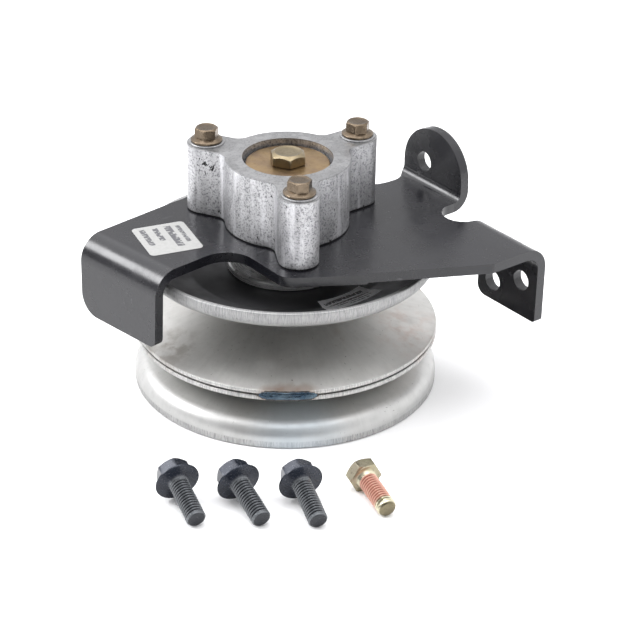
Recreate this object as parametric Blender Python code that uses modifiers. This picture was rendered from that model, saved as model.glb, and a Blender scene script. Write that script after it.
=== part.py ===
"""Variable-speed double V-belt pulley on a bolt-on steel bracket.

Three stacked sheaves turn on a spindle that runs in two sealed ball bearings. The bearings sit in a
die-cast housing, which three flange screws hold on a pressed steel bracket. The middle sheave floats
up and down the hexagonal hub sleeve and so changes both belt diameters. The four fasteners that
mount the bracket lie beside it.

Units are metres and +Z is up. The origin is on the spindle axis, in the plane on which the lower
sheave stands. +X points out of the face of the right-hand flange.
"""
import math

import bmesh
import bpy
from mathutils import Matrix, Vector

# ---------------------------------------------------------------- driving dimensions
MM = 0.001
GAP = 0.3 * MM                     # clearance between touching pieces

# pressed sheaves
LOWER_RIM = (68.6 * MM, 3.6 * MM, 8.0 * MM)     # radius, straight lip, bend radius
UPPER_RIM = (67.4 * MM, 2.2 * MM, 6.0 * MM)
MIDDLE_RIM_R = 68.2 * MM
UPPER_RIM_TOP = 65.3 * MM          # height of the upper sheave's rim edge
MIDDLE_RIM_Z = 26.0 * MM           # height of the seam between the middle sheave's two plates
MIDDLE_RIM_T = 4.6 * MM            # both plates together, at the rim
BELT_ANGLE = math.radians(16)      # half of the belt groove's angle
SHEET_T = 2.6 * MM
OUTER_FLAT_R = 44.0 * MM           # where the cone of an outer sheave runs into its flat middle
MIDDLE_TOP_FLAT_R = 32.0 * MM
FLOAT_TRAVEL = 11.0 * MM           # lift of the middle sheave

# spindle
SHAFT_R = 8.5 * MM
SHAFT_TOP = 101.5 * MM
THREAD_R = 7.9 * MM
TAPPED_R = 5.1 * MM
TAPPED_DEPTH = 23.0 * MM
SLEEVE_AF = 28.0 * MM              # hexagonal sleeve, across flats
BUSHING_R = 21.0 * MM
HUB_FLANGE_R = 26.6 * MM
HUB_FLANGE_T = 3.5 * MM
HUB_CHAMFER = 0.8 * MM
HUB_BOSS_R = 11.8 * MM

# ball bearings, 17 x 40 x 12 mm
BEARING_R = 20.0 * MM - GAP
BEARING_BORE_R = SHAFT_R + GAP
BEARING_W = 12.0 * MM
BEARING_PITCH_R = 14.25 * MM
BALL_R = 3.375 * MM
RACE_R = 3.7 * MM
BALLS = 8
OUTER_RACE_LAND_R = 16.9 * MM
INNER_RACE_LAND_R = 11.8 * MM
LOWER_BEARING_Z = 71.0 * MM
UPPER_BEARING_Z = 89.2 * MM

# bracket, pressed from one plate
PLATE_TOP = 75.3 * MM
PLATE_T = 4.5 * MM
FLANGE_BEND_R = 11.0 * MM          # top face radius of the two flanges, which are bent down
EAR_BEND_R = 4.0 * MM              # top face radius of the ear, which is bent up
RIGHT_FACE_X = 78.3 * MM
RIGHT_BOTTOM_Z = 37.8 * MM
RIGHT_FRONT_Y = -84.3 * MM
RIGHT_BACK_Y = -46.3 * MM
LEFT_FACE_U = 77.1 * MM            # distance of the left flange's face from the axis
LEFT_BOTTOM_Z = 39.8 * MM
LEFT_TURN = math.radians(187.5)    # direction in which the left flange faces
LEFT_FRONT_V, LEFT_BACK_V = 2.0 * MM, 50.0 * MM
EAR_FACE_X = 76.5 * MM
EAR_TOP_Z = 103.0 * MM
EAR_RIGHT_Y, EAR_LEFT_Y = -28.6 * MM, 10.8 * MM
NOTCH_X, NOTCH_R = 60.3 * MM, 9.0 * MM
NOTCH_FRONT_Y, NOTCH_BACK_Y = -47.7 * MM, -29.3 * MM
ARM_X = -33.7 * MM                 # where the plate's left side meets the left arm
MOUNT_HOLE_R = 4.75 * MM
EAR_HOLE = (-3.0 * MM, 85.6 * MM)               # y, z
RIGHT_HOLES = [(-74.2 * MM, 55.1 * MM), (-56.2 * MM, 47.3 * MM)]
SPIGOT_HOLE_R = 24.0 * MM

# bearing housing
HOUSING_TOP = 107.0 * MM
HOUSING_R = 27.5 * MM
HOUSING_BORE_R = 20.0 * MM
HOUSING_WEB_R = 16.5 * MM
SPIGOT_R = 23.5 * MM
HOUSING_EAR_R = 8.8 * MM
HOUSING_FILLET_R = 6.0 * MM
BOSS_R, BOSS_T = 7.9 * MM, 0.8 * MM             # raised seat under each housing screw
SCREW_CIRCLE_R = 38.9 * MM
SCREW_TURNS = [math.radians(a) for a in (0, 120, 240)]
SCREW_PLACES = [(SCREW_CIRCLE_R * math.cos(a), SCREW_CIRCLE_R * math.sin(a)) for a in SCREW_TURNS]

# fasteners
SCREW_R = 3.17 * MM
SCREW_AF, SCREW_HEAD_H = 9.53 * MM, 4.6 * MM
SCREW_FLANGE_R, SCREW_FLANGE_T = 7.1 * MM, 1.5 * MM
SCREW_L = 38.0 * MM
BOLT_R = 4.76 * MM
BOLT_AF, BOLT_HEAD_H = 14.3 * MM, 4.7 * MM
BOLT_L = 22.0 * MM
WASHER_R, WASHER_T = 18.5 * MM, 2.0 * MM
NUT_AF, NUT_H = 23.8 * MM, 9.7 * MM
LOOSE_R = 4.15 * MM
LOOSE_AF, LOOSE_L = 12.7 * MM, 22.2 * MM
LOOSE_HEAD_H = 6.2 * MM
LOOSE_FLANGE_R, LOOSE_FLANGE_T = 9.5 * MM, 1.6 * MM
LOOSE_PLACES = [                   # x and y of each seat, heading of the shank in degrees
    (-101.6 * MM, -60.5 * MM, -103.8),
    (-81.6 * MM, -75.8 * MM, -100.1),
    (-60.9 * MM, -91.05 * MM, -108.0),
]
LOCKED_L, LOCKED_HEAD_H = 21.5 * MM, 5.3 * MM
LOCKED_PLACE = (-34.3 * MM, -101.2 * MM, -104.1)
TIP_CHAMFER = 0.8 * MM
TOP_FACE = 0.85                    # diameter of a head's round top face over its width across flats

# derived heights
SIN_B, COS_B, TAN_B = math.sin(BELT_ANGLE), math.cos(BELT_ANGLE), math.tan(BELT_ANGLE)
HALF_B = math.tan(BELT_ANGLE / 2)


def groove_depth(rim):
    """Depth from an outer sheave's rim edge to the flat of its belt face."""
    rim_r, lip_h, bend_r = rim
    cone_r = rim_r - bend_r * (1 - SIN_B)
    return lip_h + bend_r * COS_B + (cone_r - OUTER_FLAT_R) * TAN_B


LOWER_FLAT_Z = groove_depth(LOWER_RIM)
UPPER_FLAT_Z = UPPER_RIM_TOP - groove_depth(UPPER_RIM)
HUB_Z = UPPER_FLAT_Z + SHEET_T + GAP
WASHER_Z = SHAFT_TOP + GAP + 0.5 * MM
HOUSING_BASE = PLATE_TOP + GAP


# ---------------------------------------------------------------- scene helpers
def clear_scene():
    for old in list(bpy.data.objects):
        bpy.data.objects.remove(old, do_unlink=True)


def new_collection(name):
    made = bpy.data.collections.new(name)
    bpy.context.scene.collection.children.link(made)
    return made


def new_material(name, colour, metallic, roughness):
    made = bpy.data.materials.new(name)
    made.use_nodes = True
    shader = made.node_tree.nodes["Principled BSDF"]
    shader.inputs["Base Color"].default_value = (*colour, 1.0)
    shader.inputs["Metallic"].default_value = metallic
    shader.inputs["Roughness"].default_value = roughness
    return made


def new_object(name, mesh, material):
    made = bpy.data.objects.new(name, mesh)
    made.data.materials.append(material)
    PARTS.objects.link(made)
    return made


def mesh_of(name, build):
    """Mesh made by calling build(bm) on an empty bmesh."""
    bm = bmesh.new()
    build(bm)
    mesh = bpy.data.meshes.new(name)
    bm.to_mesh(mesh)
    bm.free()
    return mesh


def smooth(mesh, angle=35):
    mesh.shade_smooth()
    mesh.set_sharp_from_angle(angle=math.radians(angle))


def operand(target, name, mesh, operation):
    """Boolean operand that follows its target and is not a piece of the object."""
    tool = bpy.data.objects.new(name, mesh)
    tool.hide_render = True
    tool.display_type = "WIRE"
    CUTTERS.objects.link(tool)
    tool.parent = target
    boolean = target.modifiers.new(name, "BOOLEAN")
    boolean.operation = operation
    boolean.solver = "EXACT"
    boolean.object = tool
    return tool


def round_arc(centre, radius, start, end, steps):
    """Points of an arc in the plane, from angle start to angle end."""
    turns = [start + (end - start) * i / steps for i in range(steps + 1)]
    return [(centre[0] + radius * math.cos(t), centre[1] + radius * math.sin(t)) for t in turns]


def fillet_outline(corners, steps=5):
    """Closed outline through corners (x, y, radius), each rounded with its own radius."""
    points = []
    for i, (x, y, radius) in enumerate(corners):
        here = Vector((x, y))
        if radius == 0:
            points.append((x, y))
            continue
        before = (Vector(corners[i - 1][:2]) - here).normalized()
        after = (Vector(corners[(i + 1) % len(corners)][:2]) - here).normalized()
        half = before.angle(after) / 2
        centre = here + (before + after).normalized() * (radius / math.sin(half))
        first = here + before * (radius / math.tan(half)) - centre
        last = here + after * (radius / math.tan(half)) - centre
        start = math.atan2(first.y, first.x)
        turn = math.atan2(first.x * last.y - first.y * last.x, first.dot(last))
        points += round_arc(centre, radius, start, start + turn, steps)
    return points


def filled_outline(name, outline, holes):
    """Flat mesh, facing up at z = 0, bounded by an outline and with round holes (x, y, radius)."""
    curve = bpy.data.curves.new(name, "CURVE")
    curve.dimensions = "2D"
    curve.fill_mode = "BOTH"
    rings = [outline] + [round_arc((x, y), r, 0, 2 * math.pi, n)[:-1] for x, y, r, n in holes]
    for ring in rings:
        spline = curve.splines.new("POLY")
        spline.points.add(len(ring) - 1)
        spline.use_cyclic_u = True
        for point, (x, y) in zip(spline.points, ring):
            point.co = (x, y, 0, 1)
    holder = bpy.data.objects.new(name, curve)
    bpy.context.scene.collection.objects.link(holder)
    view = bpy.context.evaluated_depsgraph_get()
    mesh = bpy.data.meshes.new_from_object(holder.evaluated_get(view))
    bpy.data.objects.remove(holder, do_unlink=True)
    return mesh


def plate_mesh(name, outline, holes, low, high):
    """Flat plate between two heights."""
    flat = filled_outline(name, outline, holes)

    def build(bm):
        bm.from_mesh(flat)
        bmesh.ops.remove_doubles(bm, verts=bm.verts, dist=1e-6)
        bmesh.ops.translate(bm, verts=bm.verts, vec=(0, 0, low - bm.verts[:][0].co.z))
        top = bmesh.ops.extrude_face_region(bm, geom=bm.faces[:])["geom"]
        lifted = [v for v in top if isinstance(v, bmesh.types.BMVert)]
        bmesh.ops.translate(bm, verts=lifted, vec=(0, 0, high - low))
        bmesh.ops.recalc_face_normals(bm, faces=bm.faces)

    return mesh_of(name, build)


def turned(name, profile, material, segments):
    """Turned piece. The profile is (radius, z); a bored piece has a closed profile off the axis."""
    solid = profile[0][0] == 0 and profile[-1][0] == 0
    area = sum(a[0] * b[1] - b[0] * a[1] for a, b in zip(profile, profile[1:] + profile[:1]))
    if area > 0:
        profile = profile[::-1]

    def build(bm):
        verts = [bm.verts.new((r, 0, z)) for r, z in profile]
        for a, b in zip(verts, verts[1:]):
            bm.edges.new((a, b))
        if not solid:
            bm.edges.new((verts[-1], verts[0]))

    made = new_object(name, mesh_of(name, build), material)
    screw = made.modifiers.new("turn", "SCREW")
    screw.steps = screw.render_steps = segments
    screw.use_merge_vertices = True
    screw.merge_threshold = 0.00001
    screw.use_smooth_shade = True
    return made


def ring_profile(inner_r, outer_r, low, high):
    return [(outer_r, high), (outer_r, low), (inner_r, low), (inner_r, high)]


def prism(sides, across, low, high, places=((0, 0),)):
    """Builder of a prism with its flats this far apart, or of one at each of several places."""
    radius = across / 2 / math.cos(math.pi / sides)

    def build(bm):
        for x, y in places:
            bmesh.ops.create_cone(bm, cap_ends=True, segments=sides, radius1=radius,
                                  radius2=radius, depth=high - low,
                                  matrix=Matrix.Translation((x, y, (low + high) / 2)))

    return build


def hexagon_head(across, low, high, turn):
    """Builder of a hexagonal head with its top edges cut back to a round top face."""
    top_r = across / 2 * TOP_FACE
    cuts, slope = 18, math.radians(30)

    def build(bm):
        prism(6, across, low, high)(bm)
        bmesh.ops.rotate(bm, verts=bm.verts, cent=(0, 0, 0), matrix=Matrix.Rotation(turn, 3, "Z"))
        for i in range(cuts):
            out = Vector((math.cos(2 * math.pi * i / cuts), math.sin(2 * math.pi * i / cuts), 0))
            normal = out * math.sin(slope) + Vector((0, 0, math.cos(slope)))
            everything = bm.verts[:] + bm.edges[:] + bm.faces[:]
            cut = bmesh.ops.bisect_plane(bm, geom=everything, dist=1e-7, clear_outer=True,
                                         plane_co=out * top_r + Vector((0, 0, high)),
                                         plane_no=normal)
            rim = [e for e in cut["geom_cut"] if isinstance(e, bmesh.types.BMEdge)]
            bmesh.ops.edgeloop_fill(bm, edges=rim)
        bmesh.ops.recalc_face_normals(bm, faces=bm.faces)

    return build


def ball_mesh(name, radius, across=9, down=6):
    def build(bm):
        bmesh.ops.create_uvsphere(bm, u_segments=across, v_segments=down, radius=radius)

    mesh = mesh_of(name, build)
    mesh.shade_smooth()
    return mesh


# ---------------------------------------------------------------- bracket
def left_point(u, v):
    """Point of the left arm: u runs out towards its flange, v runs along the flange."""
    out = Vector((math.cos(LEFT_TURN), math.sin(LEFT_TURN)))
    along = Vector((out.y, -out.x))
    return u * out + v * along


def blank_corners():
    """Corners of the flat blank before bending, anticlockwise, with their radii."""
    quarter = math.pi / 2
    right_end = RIGHT_FACE_X + FLANGE_BEND_R * (quarter - 2) + PLATE_TOP - RIGHT_BOTTOM_Z
    left_end = LEFT_FACE_U + FLANGE_BEND_R * (quarter - 2) + PLATE_TOP - LEFT_BOTTOM_Z
    ear_end = EAR_FACE_X + EAR_BEND_R * (quarter - 2) + EAR_TOP_Z - PLATE_TOP
    ear_r = (EAR_LEFT_Y - EAR_RIGHT_Y) / 2 - 0.01 * MM
    back_left = left_point(left_end, LEFT_BACK_V)
    front_left = left_point(left_end, LEFT_FRONT_V)
    arm_v = -0.4 * MM
    arm_y = (arm_v + ARM_X * math.sin(-LEFT_TURN)) / -math.cos(LEFT_TURN)
    return [
        (right_end, RIGHT_FRONT_Y, 1.5 * MM),
        (right_end, RIGHT_BACK_Y, 5 * MM),
        (NOTCH_X, NOTCH_FRONT_Y, NOTCH_R),
        (NOTCH_X, NOTCH_BACK_Y, NOTCH_R),
        (ear_end, EAR_RIGHT_Y, ear_r),
        (ear_end, EAR_LEFT_Y, ear_r),
        (75.5 * MM, EAR_LEFT_Y, 4 * MM),
        (70.0 * MM, 6.3 * MM, 8 * MM),
        (60.0 * MM, 6.4 * MM, 18 * MM),
        (-24.4 * MM, 46.9 * MM, 15 * MM),
        (back_left.x, back_left.y, 9.5 * MM),
        (front_left.x, front_left.y, 4 * MM),
        (ARM_X, arm_y, 13 * MM),
        (ARM_X, -42.4 * MM, 8 * MM),
        (-3.0 * MM, -60.5 * MM, 0),
        (-2.4 * MM, -59.3 * MM, 0),
        (46.8 * MM, RIGHT_FRONT_Y, 5 * MM),
    ]


def blank_holes():
    """Holes of the blank: spigot, housing screws, ear and right flange."""
    quarter = math.pi / 2
    ear_x = EAR_FACE_X + EAR_BEND_R * (quarter - 2) - PLATE_TOP
    right_x = RIGHT_FACE_X + FLANGE_BEND_R * (quarter - 2) + PLATE_TOP
    holes = [(0, 0, SPIGOT_HOLE_R, 32)]
    holes += [(x, y, SCREW_R + GAP, 16) for x, y in SCREW_PLACES]
    holes.append((ear_x + EAR_HOLE[1], EAR_HOLE[0], MOUNT_HOLE_R, 20))
    holes += [(right_x - z, y, MOUNT_HOLE_R, 20) for y, z in RIGHT_HOLES]
    return holes


def bend(bm, start, out, radius, down, inside, steps=6):
    """Fold what lies beyond a bend line through 90 degrees about a cylinder of this radius."""
    arc = radius * math.pi / 2
    for i in range(steps + 1):
        line = out * (start + arc * i / steps)
        everything = bm.verts[:] + bm.edges[:] + bm.faces[:]
        bmesh.ops.bisect_plane(bm, geom=everything, dist=1e-7, plane_co=line, plane_no=out)
    sign = -1 if down else 1
    for vert in bm.verts:
        beyond = vert.co.dot(out) - start
        if beyond <= 1e-7 or not inside(vert.co):
            continue
        turn = min(beyond, arc) / radius
        rest = max(beyond - arc, 0)
        reach = radius * math.sin(turn) - beyond
        vert.co += out * reach
        vert.co.z += sign * (radius * (1 - math.cos(turn)) + rest)


def make_bracket(paint):
    flat = filled_outline("bracket_blank", fillet_outline(blank_corners()), blank_holes())
    left_out = Vector((math.cos(LEFT_TURN), math.sin(LEFT_TURN), 0))
    right_out = Vector((1, 0, 0))
    notch_y = (NOTCH_FRONT_Y + NOTCH_BACK_Y) / 2

    def build(bm):
        bm.from_mesh(flat)
        bmesh.ops.remove_doubles(bm, verts=bm.verts, dist=1e-6)
        for face in bm.faces:
            if face.normal.z < 0:
                face.normal_flip()
        bend(bm, LEFT_FACE_U - FLANGE_BEND_R, left_out, FLANGE_BEND_R, True, lambda p: True)
        bend(bm, RIGHT_FACE_X - FLANGE_BEND_R, right_out, FLANGE_BEND_R, True,
             lambda p: p.y < notch_y)
        bend(bm, EAR_FACE_X - EAR_BEND_R, right_out, EAR_BEND_R, False,
             lambda p: p.y > notch_y)
        bmesh.ops.dissolve_limit(bm, angle_limit=math.radians(1), verts=bm.verts, edges=bm.edges)

    mesh = mesh_of("bracket", build)
    smooth(mesh)
    made = new_object("bracket", mesh, paint)
    made.location.z = PLATE_TOP
    sheet = made.modifiers.new("plate thickness", "SOLIDIFY")
    sheet.thickness = PLATE_T
    sheet.offset = -1
    sheet.use_even_offset = True
    return made


# ---------------------------------------------------------------- bearing housing
def housing_outline():
    """Round wall with three ears, each blended into it by a fillet on both sides."""
    reach = HOUSING_R + HOUSING_FILLET_R
    side = HOUSING_EAR_R + HOUSING_FILLET_R
    along = math.sqrt(reach ** 2 - side ** 2)
    blend = math.atan2(side, along)
    quarter = math.pi / 2
    points = []
    for i, turn in enumerate(SCREW_TURNS):
        ear = SCREW_PLACES[i]
        low = (reach * math.cos(turn - blend), reach * math.sin(turn - blend))
        high = (reach * math.cos(turn + blend), reach * math.sin(turn + blend))
        points += round_arc(low, HOUSING_FILLET_R, turn - blend + math.pi, turn + quarter, 4)
        points += round_arc(ear, HOUSING_EAR_R, turn - quarter, turn + quarter, 10)
        points += round_arc(high, HOUSING_FILLET_R, turn - quarter, turn + blend - math.pi, 4)
        following = SCREW_TURNS[(i + 1) % 3] + (2 * math.pi if i == 2 else 0)
        points += round_arc((0, 0), HOUSING_R, turn + blend, following - blend, 8)[1:-1]
    return points


def make_housing(casting):
    mesh = plate_mesh("bearing_housing", housing_outline(), [], HOUSING_BASE, HOUSING_TOP)
    made = new_object("bearing_housing", mesh, casting)
    spigot_low = LOWER_BEARING_Z - GAP
    upper_seat = UPPER_BEARING_Z - GAP
    lower_seat = LOWER_BEARING_Z + BEARING_W + GAP
    over = 5 * MM
    spigot = prism(48, 2 * SPIGOT_R, spigot_low, HOUSING_BASE + over)
    bosses = prism(24, 2 * BOSS_R, HOUSING_TOP - over, HOUSING_TOP + BOSS_T, SCREW_PLACES)
    holes = prism(16, 2 * (SCREW_R + GAP), HOUSING_BASE - over, HOUSING_TOP + over, SCREW_PLACES)
    upper = prism(48, 2 * HOUSING_BORE_R, upper_seat, HOUSING_TOP + over)
    lower = prism(48, 2 * HOUSING_BORE_R, spigot_low - over, lower_seat)
    web = prism(48, 2 * HOUSING_WEB_R, lower_seat - over, upper_seat + over)
    operand(made, "spigot", mesh_of("spigot", spigot), "UNION")
    operand(made, "bosses", mesh_of("bosses", bosses), "UNION")
    operand(made, "screw_holes", mesh_of("screw_holes", holes), "DIFFERENCE")
    operand(made, "upper_seat", mesh_of("upper_seat", upper), "DIFFERENCE")
    operand(made, "lower_seat", mesh_of("lower_seat", lower), "DIFFERENCE")
    operand(made, "web_hole", mesh_of("web_hole", web), "DIFFERENCE")


# ---------------------------------------------------------------- bearings
def make_bearing(prefix, low, steel, rubber, cage_steel):
    """Outer ring, inner ring, two seals, a cage and its balls, with the lower face at this height."""
    high, middle = low + BEARING_W, low + BEARING_W / 2
    centre = (BEARING_PITCH_R, middle)
    outer_half = math.acos((OUTER_RACE_LAND_R - BEARING_PITCH_R) / RACE_R)
    inner_half = math.acos((BEARING_PITCH_R - INNER_RACE_LAND_R) / RACE_R)
    outer_groove = round_arc(centre, RACE_R, -outer_half, outer_half, 4)
    inner_groove = round_arc(centre, RACE_R, math.pi - inner_half, math.pi + inner_half, 4)
    turned(prefix + "_bearing_outer_ring",
           [(BEARING_R, high), (BEARING_R, low), (OUTER_RACE_LAND_R, low), *outer_groove,
            (OUTER_RACE_LAND_R, high)], steel, 32)
    turned(prefix + "_bearing_inner_ring",
           [(BEARING_BORE_R, low), (BEARING_BORE_R, high), (INNER_RACE_LAND_R, high),
            *inner_groove, (INNER_RACE_LAND_R, low)], steel, 24)
    seal_in, seal_out = INNER_RACE_LAND_R + 0.4 * MM, OUTER_RACE_LAND_R - 0.4 * MM
    seal_t, inset = 0.9 * MM, 0.2 * MM
    turned(prefix + "_bearing_top_seal",
           ring_profile(seal_in, seal_out, high - inset - seal_t, high - inset), rubber, 24)
    turned(prefix + "_bearing_bottom_seal",
           ring_profile(seal_in, seal_out, low + inset, low + inset + seal_t), rubber, 24)
    make_cage_and_balls(prefix, middle, steel, cage_steel)


def make_cage_and_balls(prefix, middle, steel, cage_steel):
    cage = turned(prefix + "_bearing_cage",
                  ring_profile(13.0 * MM, 15.5 * MM, middle - 4.4 * MM, middle + 1.0 * MM),
                  cage_steel, 24)
    places = []
    for i in range(BALLS):
        turn = 2 * math.pi * i / BALLS
        places.append((BEARING_PITCH_R * math.cos(turn), BEARING_PITCH_R * math.sin(turn), middle))

    def pockets(bm):
        for place in places:
            bmesh.ops.create_uvsphere(bm, u_segments=10, v_segments=6, radius=RACE_R,
                                      matrix=Matrix.Translation(place))

    operand(cage, prefix + "_cage_pockets", mesh_of("pockets", pockets), "DIFFERENCE")
    shared = ball_mesh(prefix + "_ball", BALL_R)
    shared.materials.append(steel)
    for i, place in enumerate(places):
        ball = bpy.data.objects.new(f"{prefix}_bearing_ball_{i + 1}", shared)
        ball.location = place
        PARTS.objects.link(ball)


# ---------------------------------------------------------------- sheaves
def outer_sheave_profile(rim, bore_r, place):
    """Section of an outer sheave; place(depth) is the height at that depth from the rim edge."""
    rim_r, lip_h, bend_r = rim
    bend_centre = (rim_r - bend_r, lip_h)
    end = math.pi / 2 - BELT_ANGLE
    belt_side = [(rim_r, 0)] + round_arc(bend_centre, bend_r, 0, end, 4)
    back_side = [(rim_r - SHEET_T, 0)]
    back_side += round_arc(bend_centre, bend_r - SHEET_T, 0, end, 4)
    depth = groove_depth(rim)
    belt_side += [(OUTER_FLAT_R, depth), (bore_r, depth)]
    back_side += [(OUTER_FLAT_R - SHEET_T * HALF_B, depth - SHEET_T), (bore_r, depth - SHEET_T)]
    return [(r, place(w)) for r, w in belt_side + back_side[::-1]]


def middle_plate_profile(up, flat_r):
    """Section of one plate of the middle sheave, which rises or falls from the rim."""
    rim_half = MIDDLE_RIM_T / 2
    thickness = (rim_half - GAP / 2) * COS_B
    rise = (MIDDLE_RIM_R - flat_r) * TAN_B + rim_half
    bore_r = BUSHING_R + GAP
    section = [
        (MIDDLE_RIM_R, GAP / 2),
        (MIDDLE_RIM_R, rim_half),
        (flat_r, rise),
        (bore_r, rise),
        (bore_r, rise - thickness),
        (flat_r - thickness * HALF_B, rise - thickness),
    ]
    return [(r, MIDDLE_RIM_Z + up * w) for r, w in section], rise


def make_weld_bead(name, turn, steel):
    """Bead along the middle sheave's rim seam, thin at both ends."""
    half_l, depth, height = 13.4 * MM, 0.8 * MM, 2.1 * MM

    def build(bm):
        bmesh.ops.create_uvsphere(bm, u_segments=10, v_segments=10, radius=1.0)
        seat_r = MIDDLE_RIM_R + depth + GAP
        for vert in bm.verts:
            across, along = -vert.co.x, vert.co.z
            angle = turn + along * half_l / seat_r
            radius = seat_r + across * depth
            vert.co = (radius * math.cos(angle), radius * math.sin(angle),
                       MIDDLE_RIM_Z + vert.co.y * height)

    mesh = mesh_of(name, build)
    mesh.shade_smooth()
    return new_object(name, mesh, steel)


def make_sheaves(zinc, weld_steel):
    bore_r = SHAFT_R + GAP
    turned("lower_sheave", outer_sheave_profile(LOWER_RIM, bore_r, lambda w: w), zinc, 48)
    turned("upper_sheave", outer_sheave_profile(UPPER_RIM, bore_r, lambda w: UPPER_RIM_TOP - w),
           zinc, 48)
    low_flat_r = MIDDLE_RIM_R - (MIDDLE_RIM_Z - MIDDLE_RIM_T / 2 - LOWER_FLAT_Z - GAP) / TAN_B
    upper, rise = middle_plate_profile(1, MIDDLE_TOP_FLAT_R)
    lower, fall = middle_plate_profile(-1, low_flat_r)
    turned("middle_sheave_upper_plate", upper, zinc, 48)
    turned("middle_sheave_lower_plate", lower, zinc, 48)
    first_bead = math.radians(233.6)
    for i in range(3):
        make_weld_bead(f"weld_bead_{i + 1}", first_bead + i * math.radians(120), weld_steel)
    return MIDDLE_RIM_Z - fall, MIDDLE_RIM_Z + rise


def make_slider_bushing(low, high, bronze):
    made = turned("slider_bushing", [(0, high), (BUSHING_R, high), (BUSHING_R, low), (0, low)],
                  bronze, 40)
    over = 1 * MM
    hexagon = mesh_of("bushing_hexagon", prism(6, SLEEVE_AF + 2 * GAP, low - over, high + over))
    operand(made, "bushing_hexagon", hexagon, "DIFFERENCE")


# ---------------------------------------------------------------- spindle
def make_hexagon_sleeve(steel):
    low, high = LOWER_FLAT_Z + GAP, UPPER_FLAT_Z - GAP
    sleeve = new_object("hub_sleeve", mesh_of("hub_sleeve", prism(6, SLEEVE_AF, low, high)), steel)
    over = 1 * MM
    bore = mesh_of("sleeve_bore", prism(32, 2 * (SHAFT_R + GAP), low - over, high + over))
    operand(sleeve, "sleeve_bore", bore, "DIFFERENCE")


def make_spindle(steel, zinc):
    tapped_low = SHAFT_TOP - TAPPED_DEPTH
    shoulder = LOWER_FLAT_Z - SHEET_T
    turned("spindle_shaft",
           [(0, tapped_low), (TAPPED_R, tapped_low), (TAPPED_R, SHAFT_TOP), (SHAFT_R, SHAFT_TOP),
            (SHAFT_R, shoulder), (THREAD_R, shoulder), (THREAD_R, 0), (0, 0)], steel, 32)
    boss_top = LOWER_BEARING_Z - GAP
    hub_top = HUB_Z + HUB_FLANGE_T
    bore_r = SHAFT_R + GAP
    turned("upper_hub",
           [(bore_r, boss_top), (HUB_BOSS_R, boss_top), (HUB_BOSS_R, hub_top),
            (HUB_FLANGE_R - HUB_CHAMFER, hub_top), (HUB_FLANGE_R, hub_top - HUB_CHAMFER),
            (HUB_FLANGE_R, HUB_Z), (bore_r, HUB_Z)], steel, 40)
    turned("bearing_spacer",
           ring_profile(bore_r, 11.0 * MM, LOWER_BEARING_Z + BEARING_W + GAP,
                        UPPER_BEARING_Z - GAP), steel, 32)
    washer_top = LOWER_FLAT_Z - SHEET_T - GAP
    washer_low = washer_top - 2.5 * MM
    turned("lower_washer", ring_profile(bore_r, 17.0 * MM, washer_low, washer_top), zinc, 32)
    nut_top = washer_low - GAP
    nut = new_object("lower_nut", mesh_of("lower_nut", prism(6, NUT_AF, nut_top - NUT_H, nut_top)),
                     zinc)
    over = 1 * MM
    bore = mesh_of("nut_bore", prism(24, 2 * (THREAD_R + GAP), nut_top - NUT_H - over,
                                     nut_top + over))
    operand(nut, "nut_bore", bore, "DIFFERENCE")


def make_top_washer(zinc):
    """Retaining washer with a low boss below, which bears on the shaft's end."""
    bolt_hole, boss_r = BOLT_R + GAP, 10.5 * MM
    top = WASHER_Z + WASHER_T
    turned("top_washer",
           [(bolt_hole, top), (WASHER_R, top), (WASHER_R, WASHER_Z), (boss_r, WASHER_Z),
            (boss_r, SHAFT_TOP + GAP), (bolt_hole, SHAFT_TOP + GAP)], zinc, 40)
    return top


# ---------------------------------------------------------------- fasteners
def make_screw(name, shank_r, length, across, head_h, flange, material, tip=TIP_CHAMFER, turn=0):
    """Hexagon screw whose seat is at its own z = 0 and whose shank points down."""
    seat_r, seat_t = flange
    screw = turned(name,
                   [(0, seat_t + 0.2 * MM), (across / 2 - 1.0 * MM, seat_t + 0.2 * MM),
                    (seat_r, seat_t / 2), (seat_r, 0), (shank_r, 0), (shank_r, tip - length),
                    (shank_r - tip, -length), (0, -length)], material, 18)
    head = mesh_of(name + "_head",
                   hexagon_head(across, seat_t / 2 + 0.1 * MM, seat_t + head_h, turn))
    operand(screw, name + "_head", head, "UNION")
    return screw


def plain_seat(across):
    """Washer face of a head without a flange: radius and thickness."""
    return across / 2 - 0.3 * MM, 0.4 * MM


def make_housing_screws(zinc):
    for i, (x, y) in enumerate(SCREW_PLACES):
        screw = make_screw(f"housing_screw_{i + 1}", SCREW_R, SCREW_L, SCREW_AF, SCREW_HEAD_H,
                           (SCREW_FLANGE_R, SCREW_FLANGE_T), zinc)
        screw.location = (x, y, HOUSING_TOP + BOSS_T + GAP)
        screw.rotation_euler.z = SCREW_TURNS[i] + math.radians(8)


def make_top_bolt(seat, zinc):
    bolt = make_screw("top_bolt", BOLT_R, BOLT_L, BOLT_AF, BOLT_HEAD_H, plain_seat(BOLT_AF), zinc,
                      turn=math.radians(30))
    bolt.location.z = seat


def lay_down(screw, place, length, seat_r, tip):
    """Rest a loose screw on the ground on the edge of its head and on the end of its thread."""
    x, y, heading = place
    tilt = math.atan((seat_r - LOOSE_R) / (length - tip))
    screw.location = (x, y, seat_r * math.cos(tilt))
    screw.rotation_euler = (0, tilt - math.pi / 2, math.radians(heading))


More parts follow.
